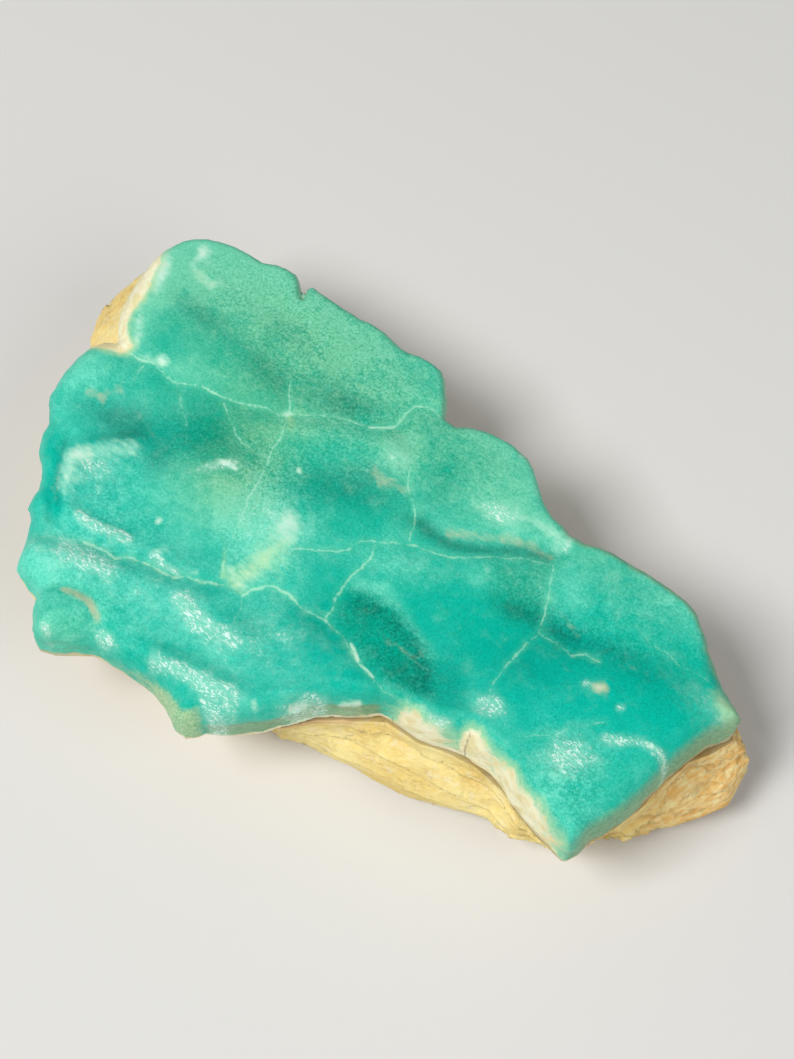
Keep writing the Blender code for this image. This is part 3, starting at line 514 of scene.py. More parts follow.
# The thin cream line at the seam: x, y, reach, how high it goes in mm, and how brown it is;
# the first line is the rim where nothing else is said.
rindPlaces = [
    (0, 0, 0, 1.6, 0.5), (-41, 38, 6, 2, 0), (-12, -26, 8, 1.1, 0.1), (12, -31.5, 10, 2, 0),
    (34, -41, 6, 1.5, 0.8), (45, -31, 5, 1.8, 0.7), (-36, -20, 7, 0.8, 0.3), (-29, -28, 4, 0.8, 0.2),
    (-53, -5, 4, 3, 0.1),
]

# Thin brown cracks in the cream layer.
cracks = [
    [(1.3, -25.6), (0.6, -26.8), (-0.1, -28.1)],
    [(12.2, -29.9), (11.2, -31.2), (10.2, -32.8)],
]


def seamSurface(x, y):
    wave = 0.8 * np.sin(x / 14.0 + 0.7) * np.cos(y / 17.0 + 0.4)
    return crust["seamHeight"] + 0.045 * y - 0.012 * x + wave


def placed(places, x, y):
    # two values that change from place to place: x, y, reach, first value, second value
    first = np.full(x.shape, places[0][3])
    second = np.full(x.shape, places[0][4])
    for placeX, placeY, reach, placeFirst, placeSecond in places[1:]:
        weight = np.exp(-((x - placeX) ** 2 + (y - placeY) ** 2) / (2.0 * reach ** 2))
        first += weight * (placeFirst - first)
        second += weight * (placeSecond - second)
    return first, second


def crustSurface(x, y, inset, wander):
    height = np.full(x.shape, crust["topHeight"])
    for hill in hills:
        height += mound(x, y, hill)
    for rise, halfWidth, points in folds:
        height += rise * np.exp(-(lineDistance(points, x, y) / halfWidth) ** 2)
    start, fall = placed(rimRoll, x, y)
    start = start * (1.0 + crust["rimWander"] * wander)
    share = np.clip(1.0 - inset / start, 0.0, 1.0)
    return height - fall * (1.0 - np.sqrt(1.0 - share ** 2))


def fieldValue(name, x, y):
    field = fields[name]
    value = np.full(x.shape, field["usual"])
    for spot in field.get("spots", []):
        value += mound(x, y, spot)
    for amount, halfWidth, points in field.get("strokes", []):
        value += amount * np.exp(-(lineDistance(points, x, y) / halfWidth) ** 2)
    for amount, softness, outline in field.get("areas", []):
        value += amount * bend(0.5 + insideBy(outline, x, y) / (2.0 * softness))
    return np.clip(value, 0.0, 1.2)


# Mesh helpers

def readPoints(mesh):
    flat = np.empty(len(mesh.vertices) * 3)
    mesh.vertices.foreach_get("co", flat)
    return flat.reshape(-1, 3) / mm


def writePoints(mesh, points):
    mesh.vertices.foreach_set("co", (points * mm).ravel())
    mesh.update()


def readNormals(mesh):
    flat = np.empty(len(mesh.vertices) * 3)
    mesh.vertex_normals.foreach_get("vector", flat)
    return flat.reshape(-1, 3)


def evaluatedMesh(source, name):
    graph = bpy.context.evaluated_depsgraph_get()
    mesh = bpy.data.meshes.new_from_object(source.evaluated_get(graph))
    mesh.name = name
    bpy.data.objects.remove(source)
    return mesh


def remeshed(mesh, facet):
    source = addObject("blank", mesh)
    remesh = source.modifiers.new("even facets", "REMESH")
    remesh.mode = "VOXEL"
    remesh.voxel_size = facet * mm
    remesh.adaptivity = 0.0
    return evaluatedMesh(source, "even blank")


def thinned(mesh, hidden, keep):
    # fewer facets at the hidden points, of which this share is kept
    source = addObject("blank", mesh)
    group = source.vertex_groups.new(name="hidden")
    group.add([int(index) for index in np.nonzero(hidden)[0]], 1.0, "REPLACE")
    fewer = source.modifiers.new("fewer hidden facets", "DECIMATE")
    fewer.ratio = 1.0 - hidden.mean() * (1.0 - keep)
    fewer.vertex_group = group.name
    return evaluatedMesh(source, "thinned blank")


def paint(mesh, name, values):
    kind = "FLOAT" if values.ndim == 1 else "FLOAT_VECTOR"
    field = "value" if values.ndim == 1 else "vector"
    layer = mesh.attributes.new(name, kind, "POINT")
    layer.data.foreach_set(field, values.astype(np.float32).ravel())


def fitInside(points, node, slack=0.03):
    # keeps the piece inside the box of the solid that it stands for
    low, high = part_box(node)
    for axis in range(3):
        least = low[axis] / mm + slack
        most = high[axis] / mm - slack
        middle = (least + most) / 2.0
        reach = np.abs(points[:, axis] - middle).max()
        points[:, axis] = middle + (points[:, axis] - middle) * min(1.0, (most - middle) / reach)
    return points


def showPiece(name, mesh, material, node):
    mesh.name = name
    mesh.materials.clear()
    mesh.materials.append(material)
    mesh.shade_smooth()
    piece = addObject(name, mesh)
    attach(piece, "root")
    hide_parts(node)
    mesh.calc_loop_triangles()
    print(name, len(mesh.loop_triangles), "triangles")


# Node helpers. A value that is a socket is linked, any other is set.

def addNode(tree, kind, settings, values):
    made = tree.nodes.new("ShaderNode" + kind)
    for name, value in settings.items():
        setattr(made, name, value)
    for name, value in values.items():
        if isinstance(value, bpy.types.NodeSocket):
            tree.links.new(value, made.inputs[name])
        else:
            made.inputs[name].default_value = value
    return made


def colour(red, green, blue):
    # a colour as seen on screen, 0 to 255
    parts = []
    for part in (red, green, blue):
        share = part / 255.0
        parts.append(share / 12.92 if share <= 0.04045 else ((share + 0.055) / 1.055) ** 2.4)
    return (*parts, 1.0)


def painted(tree, name):
    return addNode(tree, "Attribute", {"attribute_name": name}, {}).outputs["Fac"]


def paintedVector(tree, name):
    return addNode(tree, "Attribute", {"attribute_name": name}, {}).outputs["Vector"]


def calculate(tree, operation, first, second=0.0, third=0.0):
    values = {0: first, 1: second, 2: third}
    return addNode(tree, "Math", {"operation": operation}, values).outputs[0]


def times(tree, first, second):
    return calculate(tree, "MULTIPLY", first, second)


def timesPlus(tree, first, second, third):
    return calculate(tree, "MULTIPLY_ADD", first, second, third)


def minus(tree, first, second):
    return calculate(tree, "SUBTRACT", first, second)


def vectorMath(tree, operation, values, output=0):
    return addNode(tree, "VectorMath", {"operation": operation}, values).outputs[output]


def stretch(tree, value, low, high, least=0.0, most=1.0):
    # low to high becomes least to most, with soft ends
    values = {"Value": value, "From Min": low, "From Max": high, "To Min": least, "To Max": most}
    made = addNode(tree, "MapRange", {"interpolation_type": "SMOOTHSTEP"}, values)
    return made.outputs["Result"]


def mix(tree, factor, below, above, blend="MIX"):
    settings = {"data_type": "RGBA", "blend_type": blend}
    return addNode(tree, "Mix", settings, {0: factor, 6: below, 7: above}).outputs[2]


def noiseAt(tree, place, size, detail=3.0, roughness=0.5, distortion=0.0):
    # size in millimetres
    values = {"Vector": place, "Scale": 1.0 / (size * mm), "Detail": detail,
              "Roughness": roughness, "Distortion": distortion}
    return addNode(tree, "TexNoise", {}, values).outputs["Fac"]


def startMaterial(name):
    material = bpy.data.materials.new(name)
    material.use_nodes = True
    tree = material.node_tree
    tree.nodes.clear()
    shader = addNode(tree, "BsdfPrincipled", {}, {})
    addNode(tree, "OutputMaterial", {}, {"Surface": shader.outputs[0]})
    place = addNode(tree, "TexCoord", {}, {}).outputs["Object"]
    return material, tree, shader, place


def finishMaterial(tree, shader, body, rough, height, strength, depth):
    # the bumps are up to this depth in millimetres
    values = {"Height": height, "Strength": strength, "Distance": depth * mm}
    bump = addNode(tree, "Bump", {}, values)
    tree.links.new(body, shader.inputs["Base Color"])
    tree.links.new(rough, shader.inputs["Roughness"])
    tree.links.new(bump.outputs[0], shader.inputs["Normal"])


def grainAlong(tree, place, size, degrees, longer, detail=2.0, distortion=0.3):
    # noise drawn out along one direction of the plan
    values = {"Vector": place, "Rotation": (0.0, 0.0, math.radians(degrees)),
              "Scale": (longer, 1.0, 1.0)}
    turned = addNode(tree, "Mapping", {"vector_type": "TEXTURE"}, values).outputs[0]
    return noiseAt(tree, turned, size, detail, 0.6, distortion)


def brokenUp(tree, strength, pattern, spread, low, high):
    # a soft patch whose edge is broken up by a pattern
    shifted = timesPlus(tree, pattern, spread, -0.5 * spread)
    return stretch(tree, calculate(tree, "ADD", strength, shifted), low, high)


# Turquoise aragonite: waxy, a little see-into, with pale veins and a cream lowest layer.

stoneColours = {
    "richBlue": colour(0, 190, 168),
    "mintBlue": colour(94, 230, 206),
    "richGreen": colour(0, 178, 142),
    "mintGreen": colour(124, 208, 162),
    "shadow": colour(176, 200, 200),      # what a deep place is multiplied by
    "thread": colour(168, 226, 184),
    "paleAndSheen": colour(186, 242, 214),
    "paintedSheen": colour(250, 254, 240),
    "yellow": colour(200, 236, 176),
    "tan": colour(208, 206, 166),
    "vein": colour(184, 244, 212),
    "halo": colour(104, 214, 172),
    "frostAndGlint": colour(226, 252, 240),
    "cream": colour(255, 250, 214),
    "beige": colour(240, 226, 170),
    "fringe": colour(176, 226, 176),
    "lip": colour(200, 222, 168),
    "lipDark": colour(140, 190, 138),
    "seam": colour(92, 66, 40),
    "brown": colour(146, 128, 78),
    "olive": colour(126, 150, 106),
    "moss": colour(146, 186, 140),
    "farRimHighlight": colour(176, 196, 170),
}


def stoneBody(tree, clouds, mottle, specks, streaks, fine):
    mint = timesPlus(tree, clouds, 0.8, painted(tree, "mint"))
    mint = timesPlus(tree, mottle, 0.3, minus(tree, mint, 0.55))
    grainy = painted(tree, "grainy")
    fibrous = timesPlus(tree, streaks, 0.6, times(tree, specks, 0.7))
    flecks = times(tree, minus(tree, fibrous, 0.65), grainy)
    mint = timesPlus(tree, flecks, 1.6, mint)
    uneven = times(tree, minus(tree, mottle, 0.5), grainy)
    mint = timesPlus(tree, uneven, 0.5, mint)
    mint = calculate(tree, "POWER", calculate(tree, "MAXIMUM", mint, 0.0), 2.2)
    mint = calculate(tree, "MINIMUM", mint, 1.4)
    blue = mix(tree, mint, stoneColours["richBlue"], stoneColours["mintBlue"])
    green = mix(tree, mint, stoneColours["richGreen"], stoneColours["mintGreen"])
    body = mix(tree, painted(tree, "green"), blue, green)
    # painted shade: the darker places, deep colour and shade alike, are multiplied by the shadow colour
    deepAndShade = times(tree, painted(tree, "deepAndShade"), stretch(tree, mottle, 0.2, 0.6, 0.6, 1.2))
    body = mix(tree, deepAndShade, body, stoneColours["shadow"], "MULTIPLY")
    body = mix(tree, times(tree, grainy, 0.5), body, stretch(tree, specks, 0.25, 0.75), "SOFT_LIGHT")
    return mix(tree, 0.3, body, stretch(tree, fine, 0.2, 0.8), "SOFT_LIGHT")


def stoneFibres(tree, place, body, mottle):
    # fine pale threads in the cloudy parts
    values = {"Vector": place, "Scale": 1.0 / (1.7 * mm), "Detail": 6.0, "Roughness": 0.7,
              "Distortion": 0.5}
    threads = addNode(tree, "TexNoise", {"noise_type": "RIDGED_MULTIFRACTAL"}, values)
    threads = stretch(tree, threads.outputs["Fac"], 0.9, 1.7)
    amount = times(tree, threads, painted(tree, "grainy"))
    amount = times(tree, amount, stretch(tree, mottle, 0.35, 0.65, 0.15, 0.75))
    return mix(tree, amount, body, stoneColours["thread"])


def stonePatches(tree, body, mottle, streaks):
    pattern = timesPlus(tree, streaks, 0.5, times(tree, mottle, 0.5))
    for name, spread, low, high, most in (("paleAndSheen", 1.2, 0.22, 0.95, 0.85),
                                          ("yellow", 1.0, 0.15, 1.1, 0.75),
                                          ("tan", 1.3, 0.25, 1.1, 0.7)):
        amount = brokenUp(tree, painted(tree, name), pattern, spread, low, high)
        body = mix(tree, times(tree, amount, most), body, stoneColours[name])
    # painted sheen: the strongest pale places are lifted to a near-white highlight
    paintedSheen = brokenUp(tree, painted(tree, "paleAndSheen"), pattern, 1.6, 0.6, 1.6)
    return mix(tree, paintedSheen, body, stoneColours["paintedSheen"])


def stoneVeins(tree, place, body, mottle):
    # the lines wander a little from the painted way, and are broken here and there
    values = {"Vector": place, "Scale": 1.0 / (1.7 * mm), "Detail": 3.0, "Roughness": 0.7}
    wide = addNode(tree, "TexNoise", {}, values).outputs["Color"]
    wander = vectorMath(tree, "SUBTRACT", {0: wide, 1: (0.5, 0.5, 0.5)})
    wander = vectorMath(tree, "SCALE", {0: wander, "Scale": 1.1})
    patchy = stretch(tree, noiseAt(tree, place, 2.6, 4.0, 0.65), 0.36, 0.62, 0.4, 1.1)
    core = None
    halo = None
    for group in veins:
        way = vectorMath(tree, "ADD", {0: paintedVector(tree, group), 1: wander})
        gap = vectorMath(tree, "LENGTH", {0: way}, "Value")
        strength = times(tree, painted(tree, group + "Strength"), patchy)
        reach = timesPlus(tree, strength, 0.2, 0.07)
        line = stretch(tree, calculate(tree, "DIVIDE", gap, reach), 0.4, 1.7, 1.0, 0.0)
        line = times(tree, line, calculate(tree, "POWER", strength, 0.8))
        soft = times(tree, stretch(tree, gap, 0.1, 1.1, 0.7, 0.0), strength)
        core = line if core is None else calculate(tree, "MAXIMUM", core, line)
        halo = soft if halo is None else calculate(tree, "MAXIMUM", halo, soft)
    halo = times(tree, halo, stretch(tree, mottle, 0.3, 0.7, 0.5, 1.1))
    body = mix(tree, halo, body, stoneColours["halo"])
    return mix(tree, times(tree, core, 0.9), body, stoneColours["vein"])


def stoneRim(tree, body, mottle, specks, streaks):
    # the lowest layers: muddy olive, granular yellow-green, cream, and the line at the seam; also a
    # painted highlight along the far rim
    olive = brokenUp(tree, painted(tree, "olive"), streaks, 0.5, 0.1, 1.0)
    oliveColour = mix(tree, stretch(tree, streaks, 0.3, 0.7), stoneColours["olive"],
                      stoneColours["moss"])
    body = mix(tree, times(tree, olive, 0.85), body, oliveColour)
    lip = brokenUp(tree, painted(tree, "lip"), mottle, 1.0, 0.1, 1.1)
    lipColour = mix(tree, stretch(tree, specks, 0.36, 0.6), stoneColours["lipDark"],
                    stoneColours["lip"])
    body = mix(tree, times(tree, lip, 0.85), body, lipColour)
    creamColour = mix(tree, stretch(tree, mottle, 0.4, 0.66), stoneColours["cream"],
                      stoneColours["beige"])
    creamEdge = timesPlus(tree, mottle, 1.4, painted(tree, "cream"))
    creamEdge = timesPlus(tree, specks, 0.8, creamEdge)
    fringe = stretch(tree, creamEdge, -0.1, 1.2, 0.0, 0.75)
    body = mix(tree, fringe, body, stoneColours["fringe"])
    cream = stretch(tree, creamEdge, 0.9, 1.6)
    body = mix(tree, cream, body, creamColour)
    rindEdge = timesPlus(tree, mottle, 1.0, painted(tree, "rind"))
    rind = stretch(tree, rindEdge, 0.4, 0.9)
    rindColour = mix(tree, painted(tree, "rindBrown"), creamColour, stoneColours["brown"])
    body = mix(tree, rind, body, rindColour)
    # painted highlight: a thin lighter line along the far rim
    body = mix(tree, times(tree, painted(tree, "farRimHighlight"), 0.6), body, stoneColours["farRimHighlight"])
    dark = stretch(tree, painted(tree, "seam"), 0.2, 0.8, 0.0, 0.85)
    body = mix(tree, dark, body, stoneColours["seam"])
    return body, calculate(tree, "MAXIMUM", cream, rind)


def makeAragonite():
    material, tree, shader, place = startMaterial("turquoise aragonite")
    clouds = noiseAt(tree, place, 7.0, 4.0, 0.55, 0.6)
    mottle = noiseAt(tree, place, 2.2, 4.0, 0.6, 0.3)
    specks = noiseAt(tree, place, 0.4, 5.0, 0.7)
    fine = noiseAt(tree, place, 0.28, 3.0, 0.6)
    streaks = grainAlong(tree, place, 0.6, -38.0, 2.6)
    dashes = grainAlong(tree, place, 0.42, -40.0, 2.2, 3.0, 1.2)
    body = stoneBody(tree, clouds, mottle, specks, streaks, fine)
    body = stoneFibres(tree, place, body, mottle)
    body = stonePatches(tree, body, mottle, streaks)
    body = stoneVeins(tree, place, body, mottle)
    body, bare = stoneRim(tree, body, mottle, specks, streaks)

    # painted highlights: short white glints and a soft pale glow on the crinkled skin, standing for
    # light caught by its crinkles, partly its frosty whiteness
    crinkleAndGlints = painted(tree, "crinkleAndGlints")
    glintPatches = brokenUp(tree, crinkleAndGlints, mottle, 0.9, 0.1, 1.0)
    body = mix(tree, times(tree, glintPatches, 0.34), body, stoneColours["paleAndSheen"])
    glints = stretch(tree, timesPlus(tree, glintPatches, 0.1, dashes), 0.58, 0.74)
    glints = times(tree, glints, stretch(tree, glintPatches, 0.05, 0.7))
    glints = times(tree, glints, stretch(tree, glintPatches, 0.1, 1.0, 0.35, 0.95))
    body = mix(tree, glints, body, stoneColours["frostAndGlint"])

    ridges = times(tree, dashes, timesPlus(tree, glintPatches, 1.4, 0.2))
    height = timesPlus(tree, fine, 0.45, ridges)
    height = timesPlus(tree, mottle, 0.8, height)
    rough = stretch(tree, fine, 0.2, 0.8, 0.34, 0.44)
    rough = timesPlus(tree, painted(tree, "grainy"), 0.12, rough)
    rough = timesPlus(tree, bare, 0.2, rough)
    finishMaterial(tree, shader, body, rough, height, 0.5, crust["bumpDepth"])
    shader.inputs["Subsurface Weight"].default_value = 0.2
    shader.inputs["Subsurface Radius"].default_value = (0.5, 1.0, 0.9)
    shader.inputs["Subsurface Scale"].default_value = 0.001
    shader.inputs["Specular IOR Level"].default_value = 0.1
    return material


def plateFromRim(rim, thickness):
    curve = bpy.data.curves.new("rim", "CURVE")
    curve.dimensions = "2D"
    curve.fill_mode = "BOTH"
    curve.extrude = thickness * mm / 2.0
    spline = curve.splines.new("POLY")
    spline.points.add(len(rim) - 1)
    for point, (x, y) in zip(spline.points, rim):
        point.co = (x * mm, y * mm, 0.0, 1.0)
    spline.use_cyclic_u = True
    mesh = evaluatedMesh(addObject("rim", curve), "crust blank")
    shell = bmesh.new()
    shell.from_mesh(mesh)
    bmesh.ops.remove_doubles(shell, verts=shell.verts, dist=0.00001)
    bmesh.ops.translate(shell, verts=shell.verts, vec=(0.0, 0.0, thickness * mm / 2.0))
    shell.to_mesh(mesh)
    shell.free()
    return mesh


def shapeCrust(mesh, plate):
    points = readPoints(mesh)
    x, y = points[:, 0], points[:, 1]
    plan = points * (1.0, 1.0, 0.0)
    share = np.clip(points[:, 2] / plate, 0.0, 1.0)
    inset = lineDistance(closed(crustRim), x, y)
    bottom = seamSurface(x, y)
    top = crustSurface(x, y, inset, grain(plan, 5.0, 3.0))
    for size, rise in crust["lumps"]:
        top += rise * grain(plan, size, size)
    skin = worms(plan, crust["crinkleSize"]) - 0.4
    top += crust["crinkleHeight"] * fieldValue("crinkleAndGlints", x, y) * skin
    top += crust["grainHeight"] * fieldValue("grainy", x, y) * grain(plan, 0.9, 5.0)
    for members in veins.values():
        for amount, line in members:
            gap = lineDistance(line, x, y)
            top -= crust["veinGroove"] * amount * np.exp(-(gap / crust["grooveWidth"]) ** 2)
    top = np.maximum(top, bottom + crust["leastThickness"])
    points[:, 2] = bottom + share * (top - bottom)
    writePoints(mesh, points)

    # the side walls are a little uneven too
    normals = readNormals(mesh)
    side = 1.0 - np.abs(normals[:, 2])
    wallRelief = sum(rise * grain(points, size, shift) for size, rise, shift in crust["wallLumps"])
    points += normals * (side * wallRelief * bend(share * 6.0))[:, None]
    writePoints(mesh, fitInside(points, crust["node"]))
    return thinned(mesh, share < 0.01, crust["hiddenKeep"])


def paintVeins(mesh, x, y):
    # the way to the nearest line of each group, and how strong that line is here
    for group, members in veins.items():
        way = np.zeros((len(x), 3))
        strength = np.zeros(x.shape)
        nearest = np.full(x.shape, 1.0e9)
        for amount, line in members:
            gap, wayX, wayY = nearestOnLine(line, x, y)
            closer = gap < nearest
            nearest = np.where(closer, gap, nearest)
            way[closer, 0] = wayX[closer]
            way[closer, 1] = wayY[closer]
            strength[closer] = amount * bend(2.2 - gap[closer] / 1.6)
        paint(mesh, group, way)
        paint(mesh, group + "Strength", strength)


def paintRim(mesh, x, y, z):
    # the lowest layers along the rim, by how far in (inset) and how high (above) they are
    cream = np.maximum(insideBy(creamNear, x, y), insideBy(creamLeft, x, y) + 0.5)
    paint(mesh, "cream", np.clip(cream, -3.0, 3.0))
    inset = lineDistance(closed(crustRim), x, y)
    above = z - seamSurface(x, y)
    onWall = inset < crust["wallReach"]
    nearWall = onWall & ((y < 0.55 * x - 1.0) | (y < -16.0))
    atCorner = mound(x, y, crust["rightCorner"])
    lowDown = np.maximum(bend((7.0 + 2.5 * atCorner - above) / 4.0), 0.8 * bend((2.2 - inset) / 2.2))
    rightWall = nearWall * bend((x - 24.0) / 4.0) * lowDown
    frontWall = nearWall * bend((x + 27.0) / 3.0) * bend((1.0 - x) / 3.0) * (y < -20.0)
    olive = fieldValue("olive", x, y) + 1.1 * rightWall
    olive += 1.0 * frontWall * bend((6.4 - above) / 1.8)
    paint(mesh, "olive", np.clip(olive, 0.0, 1.2))
    leftWall = nearWall * bend((x + 43.0) / 4.0) * bend((-25.0 - x) / 2.0)
    lipWidth = 0.7 + 1.9 * bend((-18.0 - y) / 10.0)
    paint(mesh, "lip", leftWall * bend((lipWidth - inset) / 1.2))
    seamLine = nearWall * bend((0.3 - above) / 0.3)
    for crack in cracks:
        seamLine = np.maximum(seamLine, 0.6 * np.exp(-(lineDistance(crack, x, y) / 0.22) ** 2))
    paint(mesh, "seam", seamLine)
    rindTop, rindBrown = placed(rindPlaces, x, y)
    rind = np.where(onWall, rindTop - above, -2.0)
    paint(mesh, "rind", np.clip(rind, -2.0, 2.0))
    paint(mesh, "rindBrown", rindBrown)
    # painted highlight: a thin lighter line along the far rim, where light shows through the thin edge
    farSide = bend((y + 0.62 * x - 8.0) / 10.0)
    paint(mesh, "farRimHighlight", farSide * np.exp(-(inset / 0.4) ** 2))


def paintCrust(mesh):
    x, y, z = readPoints(mesh).T
    for name in fields:
        if name != "olive":
            paint(mesh, name, fieldValue(name, x, y))
    paintVeins(mesh, x, y)
    paintRim(mesh, x, y, z)


def makeCrust():
    print("crust")
    plate = crust["topHeight"] - crust["seamHeight"]
    mesh = remeshed(plateFromRim(crustRim, plate), crust["facet"])
    mesh = shapeCrust(mesh, plate)
    paintCrust(mesh)
    showPiece("crust", mesh, makeAragonite(), crust["node"])


# The limestone block, in millimetres
matrix = {
    "node": "limestone_matrix",
    "slot": "limestone",
    "facet": 0.385,
    "hiddenKeep": 0.1,
    "seamGap": 0.3,
    "shelfDrop": 0.8,            # how steeply the top falls away outside the crust's rim
    "spotCentre": (-3.0, 1.0),
    "spotRadii": (26.0, 17.0),
    "spotLift": 2.4,
    "spotFade": 14.0,
    "spotFlatness": 0.05,
    "scoopSize": 9.0,
    "scoopDepth": 1.6,
    "ledgeStep": 5.0,
    "ledgeDepth": 0.9,
    "beddingDip": 0.12,
    "seamEdge": 0.72,
    "wallReach": 7.0,
    "wallBlend": 3.0,
    "chips": ((4.6, 0.30, 0.25), (1.9, 0.32, 0.12)),     # size, tilt and step of the chips
    "chipFlatness": 1.7,
    "layerStep": 1.6,
    "layerDepth": 0.2,
    "undersideRough": 0.5,
    "shelfRelief": 0.9,
    "nearCalm": 0.4,             # how much smoother the near face is
    "rightRough": 0.7,           # how much rougher the right face is
    "bumpDepth": 0.3,
}

undersideRises = [
    (-38, 42, 11, 5.5), (-52, -2, 9, 5), (-12, 42, 9, 3), (24, 14, 8, 3.4), (44, -10, 9, 4.4),
    (25, -44, 7, 3.6), (-34, -20, 8, 3), (54, -30, 7, 1.6),
]

# rim of the limestone at the seam: x, y, then how far the wall stands out there at half
# height and near the base, negative where it is undercut
matrixWall = [
    (-46.4, 35.8, 0.6, -1), (-47, 39, 0.6, -0.8), (-46.2, 43, 0.5, -1), (-44, 46.4, 0.4, -1.4),
    (-41.4, 48.4, 0.3, -2), (-38.8, 49.7, 0.2, -2.6), (-35.6, 49.6, -0.2, -3), (-31, 50.2, -0.6, -3.4),
    (-25, 49.2, 0.2, -2.6), (-19, 45.8, -1.2, -4.6), (-13.6, 42.3, -2.2, -6), (-8, 39.4, -0.4, -3),
    (-2, 34.8, 0.4, -1.4), (3.5, 30, -0.8, -3.6), (8.2, 26.3, -0.2, -2.2), (8.4, 20.3, -1.6, -4.4),
    (14.5, 16.6, -0.4, -3.6), (20, 13.2, 0.4, -1.6), (22, 8, 0, -2.4), (24.4, 1.8, -1.2, -4),
    (30, -2, -0.2, -2.4), (36.5, -5.6, 0.6, -1.2), (42.3, -9.8, 0, -2.8), (45.4, -14.6, 0.4, -1),
    (47.2, -18, 0.6, -0.6), (49.2, -21.6, 1.4, 0.6), (51, -25, 2.6, 2.2), (51.4, -28, 3.4, 4),
    (48.6, -29.6, 5, 6), (44.5, -31.4, 4.6, 6), (40.5, -34.8, 3.4, 4.6), (36.5, -38.8, 1.4, 1.4),
    (32, -42.2, 0, -0.6), (28.4, -44.4, -0.2, -1.6), (25.6, -46.2, -1, -3.6), (22.8, -43.4, 0.2, -0.8),
    (20, -40.2, 1.2, 1.4), (17, -35.6, 1.8, 2.4), (13.5, -32.4, 2.8, 4), (9.5, -30.2, 3.2, 4.6),
    (5, -28.6, 3, 4.6), (0.2, -25.4, 3.6, 5.2), (-5, -25.3, 2, 3.2), (-10, -25.2, 1, 1.8),
    (-15, -26.4, -0.6, -2.2), (-20, -27.4, -3.4, -6.6), (-25, -25.2, -3.6, -6.6),
    (-30.5, -21, -3.6, -6), (-37, -15.6, -3, -5.6), (-43.5, -12.4, -2.6, -5.2), (-49, -9.6, -2, -5),
    (-53.6, -5.2, -0.6, -3.2), (-52.4, 0.5, -1, -3.6), (-51, 7, -1.6, -4.8), (-50.6, 14, -1.2, -4),
    (-50.2, 21.5, -1.4, -4.6), (-48, 27.6, -0.6, -2.4), (-46.6, 31.6, 0.2, -1.4),
]
matrixRim = closed([place[:2] for place in matrixWall])


def underside(x, y):
    spotX, spotY = matrix["spotCentre"]
    radiusX, radiusY = matrix["spotRadii"]
    past = np.hypot((x - spotX) / radiusX, (y - spotY) / radiusY)
    pastSpot = bend((past - 1.0) * radiusY / matrix["spotFade"])
    height = matrix["spotLift"] * pastSpot
    for riseX, riseY, reach, rise in undersideRises:
        near = np.exp(-((x - riseX) ** 2 + (y - riseY) ** 2) / (2.0 * reach ** 2))
        height += rise * near * pastSpot
    return height, pastSpot


def wallOutward():
    outward = []
    for index in range(len(matrixWall)):
        before = Vector(matrixWall[index - 1][:2])
        after = Vector(matrixWall[(index + 1) % len(matrixWall)][:2])
        along = (after - before).normalized()
        outward.append(Vector((-along.y, along.x)))
    return outward


def matrixBlank():
    shell = bmesh.new()
    loops = []
    for height, halfShare, baseShare in ((0.0, 0.0, 1.0), (0.25, 0.1, 1.0),
                                         (0.6, 1.0, 0.0), (1.0, 0.0, 0.0)):
        loop = []
        for (x, y, half, base), outward in zip(matrixWall, wallOutward()):
            place = Vector((x, y)) + outward * (half * halfShare + base * baseShare)
            loop.append(shell.verts.new((place.x * mm, place.y * mm,
                                         height * crust["seamHeight"] * mm)))
        loops.append(loop)
    count = len(matrixWall)
    for lower, upper in zip(loops[:-1], loops[1:]):
        for index in range(count):
            after = (index + 1) % count
            shell.faces.new((lower[index], upper[index], upper[after], lower[after]))
    caps = [shell.faces.new(loops[0]), shell.faces.new(loops[-1][::-1])]
    bmesh.ops.triangulate(shell, faces=caps)
    bmesh.ops.recalc_face_normals(shell, faces=shell.faces)
    mesh = bpy.data.meshes.new("limestone blank")
    shell.to_mesh(mesh)
    shell.free()
    return mesh


def brokenDepth(place):
    apart = noise.voronoi(Vector(place) / matrix["scoopSize"])[0]
    scoop = matrix["scoopDepth"] * (1.0 - min(apart[0] / 0.8, 1.0) ** 2)
    wave = 1.5 * noise.noise(Vector(place) / 14.0)
    level = place[2] + matrix["beddingDip"] * place[0] + wave
    ledge = matrix["ledgeDepth"] * (level / matrix["ledgeStep"] % 1.0)
    return scoop + ledge


def chipDepth(place, size, tilt, step):
    # flat chips: each has its own tilt and depth, and meets its neighbours in sharp edges
    spot = Vector(place) / size
    spot.z *= matrix["chipFlatness"]
    spot += 0.25 * noise.noise_vector(spot * 1.7)
    apart, centres = noise.voronoi(spot)
    turn = noise.cell_vector(centres[0] * 37.0) - Vector((0.5, 0.5, 0.5))
    return size * tilt * turn.dot(spot - centres[0]) + step * (1.0 - min(apart[0], 1.0))


def fineDepth(place):
    # sharp chips, thin layers that stand out unevenly, and a rough grain
    chips = sum(chipDepth(place, *chip) for chip in matrix["chips"])
    wave = 1.1 * noise.noise(Vector(place) / 6.0)
    level = place[2] + matrix["beddingDip"] * place[0] + wave
    layer = matrix["layerDepth"] * (level / matrix["layerStep"] % 1.0)
    crumbs = 0.14 * noise.turbulence(Vector(place) / 1.6, 3, True)
    return chips + layer + crumbs


